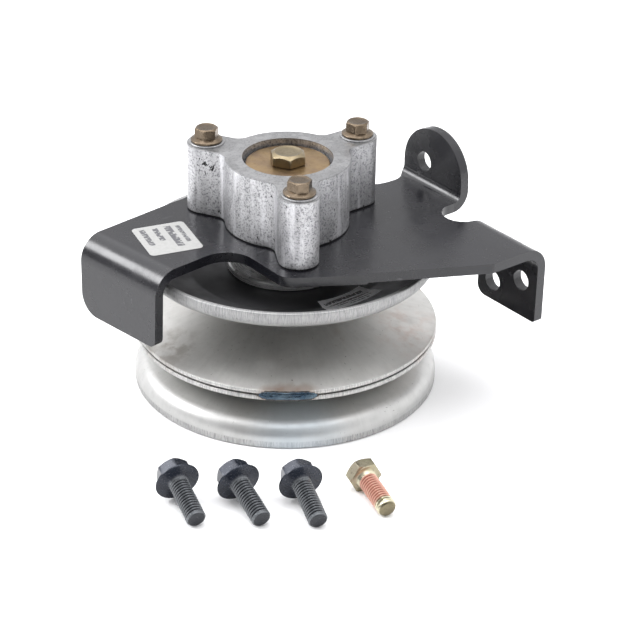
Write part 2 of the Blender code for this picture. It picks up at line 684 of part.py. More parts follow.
def make_loose_fasteners(black, pale_zinc):
    for i, place in enumerate(LOOSE_PLACES):
        screw = make_screw(f"mounting_screw_{i + 1}", LOOSE_R, LOOSE_L, LOOSE_AF, LOOSE_HEAD_H,
                           (LOOSE_FLANGE_R, LOOSE_FLANGE_T), black, turn=math.radians(30))
        lay_down(screw, place, LOOSE_L, LOOSE_FLANGE_R, TIP_CHAMFER)
    tip = 2 * TIP_CHAMFER
    bolt = make_screw("thread_locked_bolt", LOOSE_R, LOCKED_L, LOOSE_AF, LOCKED_HEAD_H,
                      plain_seat(LOOSE_AF), pale_zinc, tip)
    lay_down(bolt, LOCKED_PLACE, LOCKED_L, LOOSE_AF / 2, tip)


# ---------------------------------------------------------------- labels
def make_plate_label(paper):
    half_w, half_h, corner = 12.1 * MM, 13.9 * MM, 2.0 * MM
    corners = [(half_w, -half_h, corner), (half_w, half_h, corner), (-half_w, half_h, corner),
               (-half_w, -half_h, corner)]
    low = PLATE_TOP + GAP
    mesh = plate_mesh("plate_label", fillet_outline(corners, 3), [], low, low + 0.2 * MM)
    label = new_object("plate_label", mesh, paper)
    label.location = (-52.2 * MM, 17.5 * MM, 0)
    label.rotation_euler.z = math.radians(-15.0)


def make_pulley_label(foil):
    """Foil patch half on the upper sheave's flat middle and half up its cone."""
    centre_turn, half_turn = math.radians(-88.5), math.radians(18.0)
    near_r, far_r = 38.0 * MM, 50.0 * MM
    rise = GAP + SHEET_T / COS_B

    def build(bm):
        bmesh.ops.create_grid(bm, x_segments=8, y_segments=2, size=1.0)
        for vert in bm.verts:
            radius = near_r + (far_r - near_r) * (vert.co.y + 1) / 2
            angle = centre_turn + vert.co.x * half_turn
            height = UPPER_FLAT_Z + max(radius - OUTER_FLAT_R, 0) * TAN_B + rise
            vert.co = (radius * math.cos(angle), radius * math.sin(angle), height)

    label = new_object("pulley_label", mesh_of("pulley_label", build), foil)
    sheet = label.modifiers.new("foil thickness", "SOLIDIFY")
    sheet.thickness = 0.2 * MM
    sheet.offset = 1


# ---------------------------------------------------------------- assembly
clear_scene()
PARTS = new_collection("variable_speed_pulley")
CUTTERS = new_collection("cutters")

black_paint = new_material("black_paint", (0.03, 0.03, 0.035), 0.0, 0.3)
cast_aluminium = new_material("cast_aluminium", (0.55, 0.55, 0.56), 1.0, 0.5)
zinc_steel = new_material("zinc_steel", (0.5, 0.49, 0.46), 1.0, 0.4)
yellow_zinc = new_material("yellow_zinc", (0.6, 0.42, 0.2), 1.0, 0.35)
bearing_steel = new_material("bearing_steel", (0.6, 0.6, 0.62), 1.0, 0.2)
machined_steel = new_material("machined_steel", (0.45, 0.45, 0.46), 1.0, 0.35)
seal_rubber = new_material("seal_rubber", (0.02, 0.02, 0.02), 0.0, 0.7)
bushing_bronze = new_material("bushing_bronze", (0.5, 0.33, 0.15), 1.0, 0.45)
weld_steel = new_material("weld_steel", (0.12, 0.15, 0.18), 1.0, 0.35)
black_phosphate = new_material("black_phosphate", (0.02, 0.02, 0.024), 0.6, 0.45)
pale_zinc = new_material("pale_zinc", (0.65, 0.6, 0.38), 1.0, 0.35)
label_paper = new_material("label_paper", (0.8, 0.8, 0.78), 0.0, 0.5)
label_foil = new_material("label_foil", (0.5, 0.5, 0.52), 0.8, 0.35)

make_bracket(black_paint)
make_housing(cast_aluminium)
make_housing_screws(yellow_zinc)
make_bearing("upper", UPPER_BEARING_Z, bearing_steel, seal_rubber, machined_steel)
make_bearing("lower", LOWER_BEARING_Z, bearing_steel, seal_rubber, machined_steel)
make_spindle(machined_steel, yellow_zinc)
make_hexagon_sleeve(machined_steel)
slider_low, slider_high = make_sheaves(zinc_steel, weld_steel)
make_slider_bushing(slider_low, slider_high, bushing_bronze)
washer_top = make_top_washer(yellow_zinc)
make_top_bolt(washer_top + GAP, yellow_zinc)
make_loose_fasteners(black_phosphate, pale_zinc)
make_plate_label(label_paper)
make_pulley_label(label_foil)
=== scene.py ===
"""Looks of the variable-speed belt pulley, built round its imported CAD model.

The visible pieces are rebuilt with fine rounding, threads and rolled rims in the places that the
frame gives, and every piece gets a procedural material. Units are metres, +Z is up, and the origin
is on the spindle axis in the plane on which the lower sheave stands.
"""

from math import atan, atan2, copysign, cos, hypot, pi, radians, sin, sqrt, tan

import bmesh
import bpy
from bmesh import ops
from mathutils import Euler, Matrix, Vector, noise


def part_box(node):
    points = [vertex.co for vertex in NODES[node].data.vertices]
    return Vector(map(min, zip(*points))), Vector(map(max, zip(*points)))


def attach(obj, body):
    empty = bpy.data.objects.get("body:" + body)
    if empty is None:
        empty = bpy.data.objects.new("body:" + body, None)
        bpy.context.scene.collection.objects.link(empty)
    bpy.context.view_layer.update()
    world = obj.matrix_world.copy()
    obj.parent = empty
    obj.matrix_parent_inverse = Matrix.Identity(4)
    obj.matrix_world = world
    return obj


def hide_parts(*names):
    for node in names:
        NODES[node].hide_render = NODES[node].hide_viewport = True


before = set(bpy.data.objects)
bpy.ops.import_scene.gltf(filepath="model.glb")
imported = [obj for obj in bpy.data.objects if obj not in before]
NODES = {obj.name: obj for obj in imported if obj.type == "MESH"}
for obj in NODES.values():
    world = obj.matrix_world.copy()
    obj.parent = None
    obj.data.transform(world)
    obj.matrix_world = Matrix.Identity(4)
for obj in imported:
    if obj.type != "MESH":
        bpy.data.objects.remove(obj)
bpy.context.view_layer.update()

# ---- driving dimensions
MM = 0.001
FINE = 160                          # points round a large turned piece
ROUND = 80                          # points round a small one


def mm(*values):
    """Millimetres as metres."""
    return tuple(v * MM for v in values)


def polar(radius, turn, *z):
    """Point at a radius and a turn about the origin, with a height where one is given."""
    return (radius * cos(turn), radius * sin(turn), *z)


def low(node):
    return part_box(node)[0]


def high(node):
    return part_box(node)[1]


def outer_radius(node):
    return high(node).y


PLATE_TOP = 75.3 * MM
PLATE_T = 4.5 * MM
FLANGE_BEND_R, EAR_BEND_R = mm(11.0, 4.0)
RIGHT_FACE_X = high("bracket").x - 2.7 * MM
RIGHT_FRONT_Y, RIGHT_BACK_Y = low("bracket").y, -46.3 * MM
RIGHT_BOTTOM_Z = low("bracket").z
LEFT_TURN = radians(187.5)     # direction in which the left flange faces
LEFT_FACE_U = 77.1 * MM
LEFT_BOTTOM_Z = 39.8 * MM
LEFT_FRONT_V, LEFT_BACK_V = mm(2.0, 50.0)
EAR_FACE_X = 76.5 * MM
EAR_TOP_Z = high("bracket").z
EAR_RIGHT_Y, EAR_LEFT_Y = mm(-28.6, 10.8)
NOTCH_X, NOTCH_R = mm(60.3, 9.0)
NOTCH_FRONT_Y, NOTCH_BACK_Y = mm(-47.7, -29.3)
ARM_X = -33.7 * MM                  # where the plate's left side meets the left arm
MOUNT_HOLE_R = 4.75 * MM
EAR_HOLE = mm(-3.0, 85.6)           # y, z
RIGHT_HOLES = [mm(-74.2, 55.1), mm(-56.2, 47.3)]
SPIGOT_HOLE_R = 24.0 * MM

HOUSING_BASE = PLATE_TOP + 0.1 * MM
BOSS_R, BOSS_T = mm(7.9, 0.8)
HOUSING_TOP = high("bearing_housing").z - BOSS_T
HOUSING_R, HOUSING_BORE_R, SPIGOT_R = mm(27.5, 20.0, 23.5)
WEB_BORE_R, WEB_LOW_Z, WEB_HIGH_Z = mm(16.5, 83.3, 88.9)
HOUSING_EAR_R, HOUSING_FILLET_R = mm(8.8, 6.0)
SCREW_CIRCLE_R = 38.9 * MM
SCREW_TURNS = [radians(a) for a in (0, 120, 240)]
SCREW_PLACES = [polar(SCREW_CIRCLE_R, a) for a in SCREW_TURNS]
SCREW_R, SCREW_L, SCREW_PITCH, SCREW_AF = mm(3.17, 38, 1.27, 9.53)
SCREW_FLANGE_R, SCREW_FLANGE_T = mm(7.1, 1.5)

BELT_ANGLE = radians(16)
SIN_B, COS_B, TAN_B = sin(BELT_ANGLE), cos(BELT_ANGLE), tan(BELT_ANGLE)
SHEET_T = 2.6 * MM
OUTER_FLAT_R = 44.0 * MM
LOWER_RIM = mm(68.6, 3.6, 8.0)      # radius, straight lip, bend radius
UPPER_RIM = mm(67.4, 2.2, 6.0)
UPPER_RIM_TOP = high("upper_sheave").z
MIDDLE_RIM_R, MIDDLE_RIM_Z, MIDDLE_RIM_HALF = mm(68.2, 26.0, 2.3)
MIDDLE_FLAT_R = 32.0 * MM
BEAD_TURNS = [radians(233.6) + i * radians(120) for i in range(3)]
SHAFT_R, SHAFT_TIP_R, SHAFT_BORE_R, SHAFT_BORE_L = mm(8.5, 7.9, 5.1, 23)
SHAFT_TOP_Z = high("spindle_shaft").z
FIT = 0.1 * MM                      # play between two pieces that sit together
HUB_FLANGE_T, HUB_CHAMFER, HUB_BOSS_R = mm(3.5, 0.8, 11.8)
SLEEVE_AF, BUSH_AF = mm(28.0, 28.6)
COARSE_PITCH = 1.59 * MM            # of the centre bolt and the clamp nut
NUT_AF, NUT_BORE_R, NUT_CHAMFER_H = mm(23.8, 8.0, 1.8)
CENTRE_AF, CENTRE_R, CENTRE_L = mm(14.3, 4.76, 22)

LOOSE_R, LOOSE_L, LOOSE_PITCH, LOOSE_AF = mm(4.15, 22.2, 1.41, 12.7)
LOOSE_HEAD_H, LOOSE_FLANGE_R, LOOSE_FLANGE_T = mm(7.8, 9.5, 1.9)
LOOSE_PLACES = [                    # x and y of each seat, heading of the shank in degrees
    (*mm(-101.6, -60.5), -103.8),
    (*mm(-81.6, -75.8), -100.1),
    (*mm(-60.9, -91.05), -108.0),
]
LOCKED_L, LOCKED_HEAD_H, LOCKED_TIP = mm(21.5, 5.7, 1.6)
LOCKED_PLACE = (*mm(-34.3, -101.2), -104.1)
TIP_CHAMFER = 0.8 * MM


# ---- meshes
def mesh_from(name, build):
    """Mesh made by calling build(bm) on an empty bmesh."""
    bm = bmesh.new()
    build(bm)
    mesh = bpy.data.meshes.new(name)
    bm.to_mesh(mesh)
    bm.free()
    return mesh


def shade(mesh, angle=32):
    mesh.shade_smooth()
    mesh.set_sharp_from_angle(angle=radians(angle))
    return mesh


def linked(name, data):
    """New object, linked into the scene."""
    made = bpy.data.objects.new(name, data)
    bpy.context.scene.collection.objects.link(made)
    return made


def add_piece(name, mesh, look, body, slot, *nodes, location=(0, 0, 0), rotation=(0, 0, 0)):
    """Piece that rides on a body and stands for CAD nodes."""
    made = linked(name, mesh)
    mesh.materials.append(look.material)
    made.location = location
    made.rotation_euler = rotation
    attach(made, body)
    if nodes:
        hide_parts(*nodes)
    return made


def arc(centre, radius, start, end, steps):
    """Points of an arc in the plane, from angle start to angle end."""
    turns = [start + (end - start) * i / steps for i in range(steps + 1)]
    return [(centre[0] + radius * cos(t), centre[1] + radius * sin(t)) for t in turns]


def rounded(corners, steps=12):
    """Closed outline through corners (x, y, radius), each rounded with its own radius."""
    points = []
    for i, (x, y, radius) in enumerate(corners):
        here = Vector((x, y))
        if radius == 0:
            points.append((x, y))
            continue
        before = (Vector(corners[i - 1][:2]) - here).normalized()
        after = (Vector(corners[(i + 1) % len(corners)][:2]) - here).normalized()
        half = before.angle(after) / 2
        centre = here + (before + after).normalized() * (radius / sin(half))
        first = here + before * (radius / tan(half)) - centre
        last = here + after * (radius / tan(half)) - centre
        start = atan2(first.y, first.x)
        turn = atan2(first.x * last.y - first.y * last.x, first.dot(last))
        points += arc(centre, radius, start, start + turn, steps)
    return points


def skin(name, rings, closed=False, angle=32):
    """Mesh through rings of equally many points. A closed one joins its last ring to its first."""
    count = len(rings[0])
    following = list(range(1, len(rings))) + ([0] if closed else [])
    faces = []
    for a, b in enumerate(following):
        for i in range(count):
            j = (i + 1) % count
            faces.append((a * count + i, a * count + j, b * count + j, b * count + i))
    if not closed:
        faces.append(tuple(range(count)))
        faces.append(tuple(range((len(rings) - 1) * count, len(rings) * count)))
    mesh = bpy.data.meshes.new(name)
    mesh.from_pydata([p for ring in rings for p in ring], [], faces)

    def build(bm):
        bm.from_mesh(mesh)
        ops.recalc_face_normals(bm, faces=bm.faces)

    return shade(mesh_from(name, build), angle)


def circle(radius, z, count=ROUND):
    return [polar(radius, 2 * pi * i / count, z) for i in range(count)]


def turned(name, profile, count=FINE, closed=True, angle=32):
    """Turned mesh with the section profile, a list of (radius, z)."""
    return skin(name, [circle(r, z, count) for r, z in profile], closed, angle)


def add_turned(name, profile, look, body, slot, *nodes):
    return add_piece(name, turned(name, profile), look, body, slot, *nodes)


def ring_section(inner_r, outer_r, bottom, top, edge=0.3 * MM):
    corners = [(outer_r, top), (outer_r, bottom), (inner_r, bottom), (inner_r, top)]
    return rounded([(r, z, edge) for r, z in corners], 4)


def evaluated(made):
    """Mesh of an object with its modifiers applied."""
    view = bpy.context.evaluated_depsgraph_get()
    return bpy.data.meshes.new_from_object(made.evaluated_get(view))


def filled(name, outline, holes):
    """Flat mesh, facing up at z = 0, bounded by an outline, with round holes (x, y, radius)."""
    curve = bpy.data.curves.new(name, "CURVE")
    curve.dimensions = "2D"
    curve.fill_mode = "BOTH"
    for ring in [outline] + [arc((x, y), r, 0, 2 * pi, 64)[:-1] for x, y, r in holes]:
        spline = curve.splines.new("POLY")
        spline.points.add(len(ring) - 1)
        spline.use_cyclic_u = True
        for point, (x, y) in zip(spline.points, ring):
            point.co = (x, y, 0, 1)
    holder = linked(name, curve)
    mesh = evaluated(holder)
    bpy.data.objects.remove(holder, do_unlink=True)
    return mesh


def extruded(bm, flat, bottom, top):
    """Adds to bm the flat mesh, made as thick as two heights are apart."""
    bm.from_mesh(flat)
    ops.remove_doubles(bm, verts=bm.verts, dist=1e-6)
    ops.translate(bm, verts=bm.verts, vec=(0, 0, bottom))
    raised = ops.extrude_face_region(bm, geom=bm.faces[:])["geom"]
    verts = [v for v in raised if isinstance(v, bmesh.types.BMVert)]
    ops.translate(bm, verts=verts, vec=(0, 0, top - bottom))
    ops.recalc_face_normals(bm, faces=bm.faces)


def soften(piece, width, segments=3, angle=40):
    """Rounds the sharp edges of a piece and keeps its flat faces flat."""
    bevel = piece.modifiers.new("soft edges", "BEVEL")
    bevel.width = width
    bevel.segments = segments
    bevel.limit_method = "ANGLE"
    bevel.angle_limit = radians(angle)
    bevel.harden_normals = True
    bevel.miter_outer = "MITER_ARC"


def fix(piece):
    """Applies the modifiers of a piece."""
    bpy.context.view_layer.update()
    mesh = evaluated(piece)
    piece.modifiers.clear()
    piece.data = mesh


# ---- materials
class Graph:
    """A node tree, with short ways to add and join its nodes."""

    def __init__(self, tree):
        self.tree = tree

    def add(self, kind, inputs=(), **settings):
        made = self.tree.nodes.new("ShaderNode" + kind)
        for key, value in settings.items():
            setattr(made, key, value)
        for key, value in dict(inputs).items():
            self.feed(made.inputs[key], value)
        return made

    def feed(self, socket, value):
        if isinstance(value, bpy.types.NodeSocket):
            self.tree.links.new(value, socket)
        else:
            socket.default_value = value

    def math(self, operation, a, b=0.0):
        return self.add("Math", {0: a, 1: b}, operation=operation).outputs[0]

    def times(self, a, b):
        return self.math("MULTIPLY", a, b)

    def vector(self, operation, a, b=(0, 0, 0), output=0):
        made = self.add("VectorMath", {0: a, 1: b}, operation=operation)
        return made.outputs[output]

    def ramp(self, value, start, end, low_value=0.0, high_value=1.0):
        """Smooth step of value from start to end, scaled to between two values."""
        made = self.add("MapRange", {"Value": value, "From Min": start, "From Max": end,
                                     "To Min": low_value, "To Max": high_value},
                        interpolation_type="SMOOTHSTEP", clamp=True)
        return made.outputs["Result"]


class Look(Graph):
    """A procedural material."""

    def __init__(self, name, **constants):
        self.material = bpy.data.materials.new(name)
        self.material.use_nodes = True
        super().__init__(self.material.node_tree)
        self.shader = self.tree.nodes["Principled BSDF"]
        for socket, value in constants.items():
            self.shader.inputs[socket.replace("_", " ")].default_value = value
        self.place = self.add("TexCoord").outputs["Object"]

    def set(self, socket, value):
        self.feed(self.shader.inputs[socket], value)

    def source(self, socket):
        """What feeds an input of the shader."""
        return self.shader.inputs[socket].links[0].from_socket

    def finished(self, colour, roughness, normal):
        self.set("Base Color", colour)
        self.set("Roughness", roughness)
        self.set("Normal", normal)
        return self

    def tinted(self, factor, tint):
        """The look with its colour turned into another one where factor is 1."""
        self.set("Base Color", self.mix(factor, self.source("Base Color"), tint))
        return self

    def noise(self, scale, detail=4, roughness=0.55, stretch=(1, 1, 1), shift=(0, 0, 0), at=None):
        """Noise from 0 to 1 whose grain is 1 / scale metres, longer along axes of small stretch."""
        moved = self.vector("ADD", at or self.place, shift)
        place = self.vector("MULTIPLY", moved, stretch)
        made = self.add("TexNoise", {"Vector": place, "Scale": scale, "Detail": detail,
                                     "Roughness": roughness})
        return made.outputs["Fac"]

    def mix(self, factor, a, b):
        """Colour a where factor is 0 and colour b where it is 1."""
        made = self.add("Mix", data_type="RGBA")
        self.feed(made.inputs["Factor"], factor)
        for key, value in (("A", a), ("B", b)):
            socket = [s for s in made.inputs if s.name == key and s.type == "RGBA"][0]
            self.feed(socket, (*value, 1.0) if isinstance(value, tuple) else value)
        return [s for s in made.outputs if s.type == "RGBA"][0]

    def near(self, point, inner, outer):
        """1 within inner metres of a point, falling to 0 at outer."""
        away = self.vector("DISTANCE", self.place, point, "Value")
        return self.ramp(away, inner, outer, 1.0, 0.0)

    def axes(self, place=None):
        made = self.add("SeparateXYZ", {0: place or self.place})
        return made.outputs["X"], made.outputs["Y"], made.outputs["Z"]

    def radius(self):
        x, y, _ = self.axes()
        flat = self.add("CombineXYZ", {"X": x, "Y": y}).outputs[0]
        return self.vector("LENGTH", flat, output="Value")

    def round_place(self, around, along_r, along_z):
        """Coordinates stretched round the spindle axis, outwards and along it."""
        x, y, z = self.axes()
        radius = self.math("MAXIMUM", self.radius(), 1e-4)
        made = self.add("CombineXYZ", {
            "X": self.times(self.math("DIVIDE", x, radius), around),
            "Y": self.times(self.math("DIVIDE", y, radius), around),
            "Z": self.math("ADD", self.times(z, along_z), self.times(radius, along_r))})
        return made.outputs[0]

    def bump(self, height, distance, strength=1.0, under=None):
        made = self.add("Bump", {"Height": height, "Distance": distance, "Strength": strength})
        if under:
            self.tree.links.new(under, made.inputs["Normal"])
        return made.outputs["Normal"]


def scaled(tone, factor):
    return tuple(factor * c for c in tone)


def black_paint():
    """Gloss enamel on sheet steel, with orange peel, dust, handling smears and fine scratches."""
    look = Look("black_paint", Metallic=0.0, IOR=1.52)
    smear = look.noise(38, 3, 0.5, (1, 0.35, 0.35))
    dust = look.ramp(look.noise(1500, 2, 0.6), 0.70, 0.78)
    scratch = look.ramp(look.noise(260, 3, 0.6, (0.12, 1, 1), (0.03, 0.01, 0)), 0.69, 0.72)
    colour = look.mix(look.ramp(smear, 0.3, 0.75), (0.005, 0.005, 0.007), (0.010, 0.010, 0.013))
    marks = look.math("MAXIMUM", look.times(dust, 0.5), look.times(scratch, 0.22))
    rough = look.ramp(look.noise(90, 4), 0.3, 0.75, 0.20, 0.32)
    peel = look.bump(look.noise(420, 2, 0.5), 0.00006, 0.55)
    return look.finished(
        look.mix(marks, colour, (0.16, 0.16, 0.17)),
        look.math("ADD", rough, look.times(dust, 0.2)),
        look.bump(look.times(scratch, -1.0), 0.00002, 0.5, peel))


def cast_aluminium():
    """Die-cast skin, blasted and stained, with pits that hold dirt, and a painted shade darkening
    its top face.
    """
    look = Look("cast_aluminium", Metallic=0.85)
    _, _, z = look.axes()
    broad = look.noise(70, 4, 0.6, (1, 1, 0.4))
    fine = look.noise(1100, 4, 0.7)
    flow = look.noise(190, 3, 0.6, (1, 1, 0.12))
    colour = look.mix(look.ramp(broad, 0.35, 0.65), (0.35, 0.35, 0.36), (0.56, 0.56, 0.57))
    colour = look.mix(look.ramp(fine, 0.46, 0.64, 0.0, 0.85), colour, (0.14, 0.14, 0.15))
    colour = look.mix(look.ramp(flow, 0.50, 0.66, 0.0, 0.6), colour, (0.72, 0.72, 0.74))
    ear = Vector((*SCREW_PLACES[1], HOUSING_TOP - 8 * MM))
    cluster = look.near(ear + Vector((-5.0, -6.3, 0)) * MM, 2 * MM, 9.5 * MM)
    base = look.ramp(z, HOUSING_BASE + 9 * MM, HOUSING_BASE, 0.0, 0.55)
    prone = look.math("MAXIMUM", cluster, base)
    grain = look.math("ADD", look.noise(480, 3, 0.6, (1, 1, 0.7), (0.1, 0.2, 0)),
                      look.times(prone, 0.13))
    # Painted shade: the top face is darkened towards grey.
    top = look.ramp(z, HOUSING_TOP - 0.7 * MM, HOUSING_TOP - 0.2 * MM)
    colour = look.mix(look.times(top, 0.7), colour, (0.21, 0.21, 0.21))
    seam = look.ramp(z, HOUSING_BASE + 0.8 * MM, HOUSING_BASE + 0.3 * MM)
    pit = look.math("MAXIMUM", look.ramp(grain, 0.70, 0.735), seam)
    skin_bump = look.bump(look.math("ADD", fine, look.times(flow, 0.8)), 0.00025, 0.6)
    return look.finished(
        look.mix(pit, colour, (0.03, 0.03, 0.03)),
        look.ramp(look.noise(210, 4), 0.3, 0.7, 0.32, 0.50),
        look.bump(look.times(pit, -1.0), 0.0004, 0.8, skin_bump))


def pressed_zinc(name, tone, rim_z, rim_band, inner_shade):
    """Zinc plate on pressed steel: streaks along the press direction, stains and a scuffed rim,
    with painted shade darkening it towards the middle.
    """
    look = Look(name, Metallic=0.85)
    _, _, z = look.axes()
    streak = look.noise(1.0, 3, 0.6, at=look.round_place(26.0, 60.0, 60.0))
    stain = look.noise(34, 5, 0.62, shift=(0.4, 0.1, 0.0))
    speck = look.ramp(look.noise(900, 2, 0.6), 0.70, 0.76)
    mottle = look.noise(240, 4, 0.65)
    # Painted shade: the zinc darkens towards the middle, where the parts above shade it.
    inner_shade_mask = look.ramp(look.radius(), 63 * MM, 52 * MM, 0.0, inner_shade)
    colour = look.mix(look.ramp(streak, 0.3, 0.7), scaled(tone, 0.97), scaled(tone, 1.02))
    for factor, tint in ((inner_shade_mask, scaled(tone, 0.55)),
                         (look.ramp(mottle, 0.45, 0.8, 0.0, 0.4), scaled(tone, 0.8)),
                         (look.ramp(stain, 0.58, 0.76, 0.0, 0.35), (0.44, 0.38, 0.33)),
                         (look.times(speck, 0.75), (0.10, 0.09, 0.08))):
        colour = look.mix(factor, colour, tint)
    away = look.math("ABSOLUTE", look.math("SUBTRACT", z, rim_z))
    scuff = look.noise(1.0, 5, 0.75, at=look.round_place(260.0, 0.0, 210.0))
    scuffed = look.times(look.ramp(away, rim_band, rim_band * 0.8), look.ramp(scuff, 0.42, 0.62))
    rough = look.ramp(look.noise(120, 4), 0.3, 0.75, 0.40, 0.54)
    height = look.math("ADD", look.times(mottle, 0.35), look.times(scuffed, 0.6))
    return look.finished(
        look.mix(look.times(scuffed, 0.7), colour, (0.20, 0.20, 0.21)),
        look.math("ADD", rough, look.times(scuffed, 0.18)),
        look.bump(height, 0.00012, 0.45))


def lower_zinc():
    """The lower sheave's zinc, with painted shade towards its middle and a painted bluish
    reflection on the stretch of its flare that faces the camera.
    """
    # 0.95: strong painted shade towards the middle, under the floating sheave.
    look = pressed_zinc("lower_zinc", (0.50, 0.50, 0.49), 0.0, 3.6 * MM, 0.95)
    # Painted reflection: a lighter bluish patch on the front of the flare.
    cast = look.near(Vector((-34, -54, 6)) * MM, 6 * MM, 26 * MM)
    return look.tinted(look.times(cast, 0.5), (0.52, 0.60, 0.66))


def upper_zinc():
    """The upper sheave's zinc, darkened on its upward face under the bracket: painted shade and
    painted reflection of the black bracket.
    """
    # 0.45: painted shade towards the middle.
    look = pressed_zinc("upper_zinc", (0.38, 0.38, 0.375), UPPER_RIM_TOP, 6.0 * MM, 0.45)
    _, _, facing = look.axes(look.add("TexCoord").outputs["Normal"])
    inside = look.ramp(look.radius(), UPPER_RIM[0] - 1.9 * MM, UPPER_RIM[0] - 2.4 * MM)
    # Painted shade and reflection: the upward face inside the rim turns near black.
    shade_under = look.times(inside, look.ramp(facing, -0.1, 0.2, 0.0, 0.85))
    return look.tinted(shade_under, (0.055, 0.055, 0.062))


def middle_zinc():
    """The floating sheave's zinc, with heat tint at its welds and belt dust."""
    look = pressed_zinc("middle_zinc", (0.59, 0.585, 0.565), MIDDLE_RIM_Z, 2.6 * MM, 0.0)
    wobble = look.times(look.noise(160, 3), 5 * MM)
    patchy = look.noise(130, 4, 0.6)
    for point, reach, tint in (((34, -48, 32), 30, (0.50, 0.41, 0.37)),
                               ((-62, 4, 31), 22, (0.30, 0.27, 0.24))):
        spot = look.near(Vector(point) * MM, 0.1 * reach * MM, reach * MM)
        look.tinted(look.times(spot, look.ramp(patchy, 0.42, 0.66, 0.1, 0.75)), tint)
    for turn in BEAD_TURNS:
        middle = Vector(polar(MIDDLE_RIM_R, turn, MIDDLE_RIM_Z))
        along = Vector((-sin(turn), cos(turn), 0))
        for side in mm(-7, 0, 7):
            away = look.vector("DISTANCE", look.place, middle + along * side, "Value")
            reach = look.math("ADD", away, wobble)
            look.tinted(look.ramp(reach, 5.5 * MM, 10.5 * MM, 0.55, 0.0), (0.26, 0.17, 0.12))
    return look


def turned_steel(name, tone, roughness=0.3, metallic=1.0):
    """Turned or ground steel with concentric tool marks."""
    look = Look(name, Metallic=metallic)
    marks = look.noise(1.0, 2, 0.5, at=look.round_place(3.0, 5200.0, 5200.0))
    cloud = look.ramp(look.noise(140, 4, 0.6), 0.35, 0.75, 0.0, 0.5)
    return look.finished(
        look.mix(cloud, tone, scaled(tone, 0.7)),
        look.ramp(marks, 0.3, 0.7, roughness - 0.07, roughness + 0.1),
        look.bump(marks, 0.00003, 0.4))


def zinc_plate(name, tone, edge_tone, roughness=0.3, grain=520):
    """Yellow passivated zinc: a cloudy film from gold to pinkish brown, worn and specked."""
    look = Look(name, Metallic=1.0)
    fine = look.noise(grain, 4, 0.65)
    colour = look.mix(look.ramp(look.noise(130, 4, 0.6), 0.3, 0.72), tone, edge_tone)
    colour = look.mix(look.ramp(fine, 0.50, 0.75, 0.0, 0.6), colour, scaled(tone, 0.55))
    speck = look.ramp(look.noise(1700, 2, 0.6), 0.68, 0.74)
    return look.finished(
        look.mix(look.times(speck, 0.7), colour, (0.09, 0.07, 0.05)),
        look.ramp(fine, 0.3, 0.75, roughness, roughness + 0.16),
        look.bump(fine, 0.00007, 0.5))


def thread_lock():
    """Pale zinc bolt with a band of dried orange thread-locking compound on its thread, and painted
    highlights on the thread crests with painted shade in its roots.
    """
    look = zinc_plate("thread_locked_zinc", (0.37, 0.345, 0.23), (0.35, 0.31, 0.24), 0.26)
    _, _, z = look.axes()
    top = look.ramp(z, -1.4 * MM, -2.4 * MM)
    bottom = look.ramp(z, -17.4 * MM, -16.4 * MM)
    ragged = look.ramp(look.noise(700, 3), 0.28, 0.5, 0.72, 1.0)
    patch = look.times(look.times(top, bottom), ragged)
    # Painted highlights and shade on the thread, also through the compound: light crests, dark
    # roots.
    crest_highlight = look.ramp(look.radius(), LOOSE_R - 0.7 * MM, LOOSE_R - 0.1 * MM)
    look.tinted(look.ramp(z, 0.0, -0.8 * MM, 0.0, 0.8),
                look.mix(crest_highlight, (0.12, 0.10, 0.06), (0.70, 0.66, 0.50)))
    look.set("Metallic", look.math("SUBTRACT", 1.0, look.times(patch, 0.7)))
    look.set("Roughness", look.math("ADD", look.source("Roughness"), look.times(patch, 0.2)))
    return look.tinted(patch, look.mix(crest_highlight, (0.30, 0.10, 0.06), (0.66, 0.38, 0.30)))


def black_phosphate():
    """Oiled phosphate coating: near black with a bluish tone and lighter random flecks; the thread
    carries painted highlights on its crests and painted shade in its roots.
    """
    look = Look("black_phosphate", Metallic=0.3)
    fine = look.noise(900, 4, 0.65)
    cloud = look.ramp(look.noise(160, 3), 0.3, 0.7)
    colour = look.mix(cloud, (0.013, 0.016, 0.025), (0.025, 0.030, 0.043))
    _, _, z = look.axes()
    # Painted highlights and shade on the thread below the head: light crests, dark roots.
    shank = look.ramp(z, -0.2 * MM, -1.2 * MM, 0.0, 0.8)
    crest_highlight = look.ramp(look.radius(), LOOSE_R - 0.7 * MM, LOOSE_R - 0.1 * MM)
    colour = look.mix(shank, colour, look.mix(crest_highlight, (0.008, 0.009, 0.012), (0.17, 0.18, 0.19)))
    return look.finished(
        look.mix(look.ramp(fine, 0.62, 0.74, 0.0, 0.22), colour, (0.20, 0.20, 0.22)),
        look.ramp(fine, 0.3, 0.75, 0.18, 0.32),
        look.bump(fine, 0.00003, 0.4))


def weld_steel():
    """Weld metal with blue heat colours and dark specks."""
    look = Look("weld_steel", Metallic=0.9)
    cloud = look.noise(150, 4, 0.6)
    fine = look.noise(700, 3)
    colour = look.mix(look.ramp(cloud, 0.35, 0.65), (0.035, 0.06, 0.09), (0.08, 0.115, 0.145))
    return look.finished(
        look.mix(look.ramp(fine, 0.6, 0.72, 0.0, 0.7), colour, (0.03, 0.03, 0.035)),
        look.ramp(fine, 0.3, 0.75, 0.2, 0.38),
        look.bump(cloud, 0.0002, 0.5))


def sooty_steel():
    """Burnt edge round a weld."""
    look = Look("sooty_steel", Metallic=0.4)
    fine = look.noise(800, 4)
    return look.finished(
        look.mix(look.ramp(fine, 0.35, 0.7), (0.02, 0.02, 0.022), (0.10, 0.09, 0.08)),
        look.ramp(fine, 0.3, 0.7, 0.45, 0.7),
        look.bump(fine, 0.0002, 0.5))


def plain_rubber():
    look = Look("seal_rubber")
    fine = look.noise(900, 3)
    return look.finished(
        look.mix(look.ramp(fine, 0.3, 0.7), (0.012,) * 3, (0.03,) * 3),
        look.ramp(fine, 0.3, 0.7, 0.5, 0.7),
        look.bump(fine, 0.00005, 0.4))


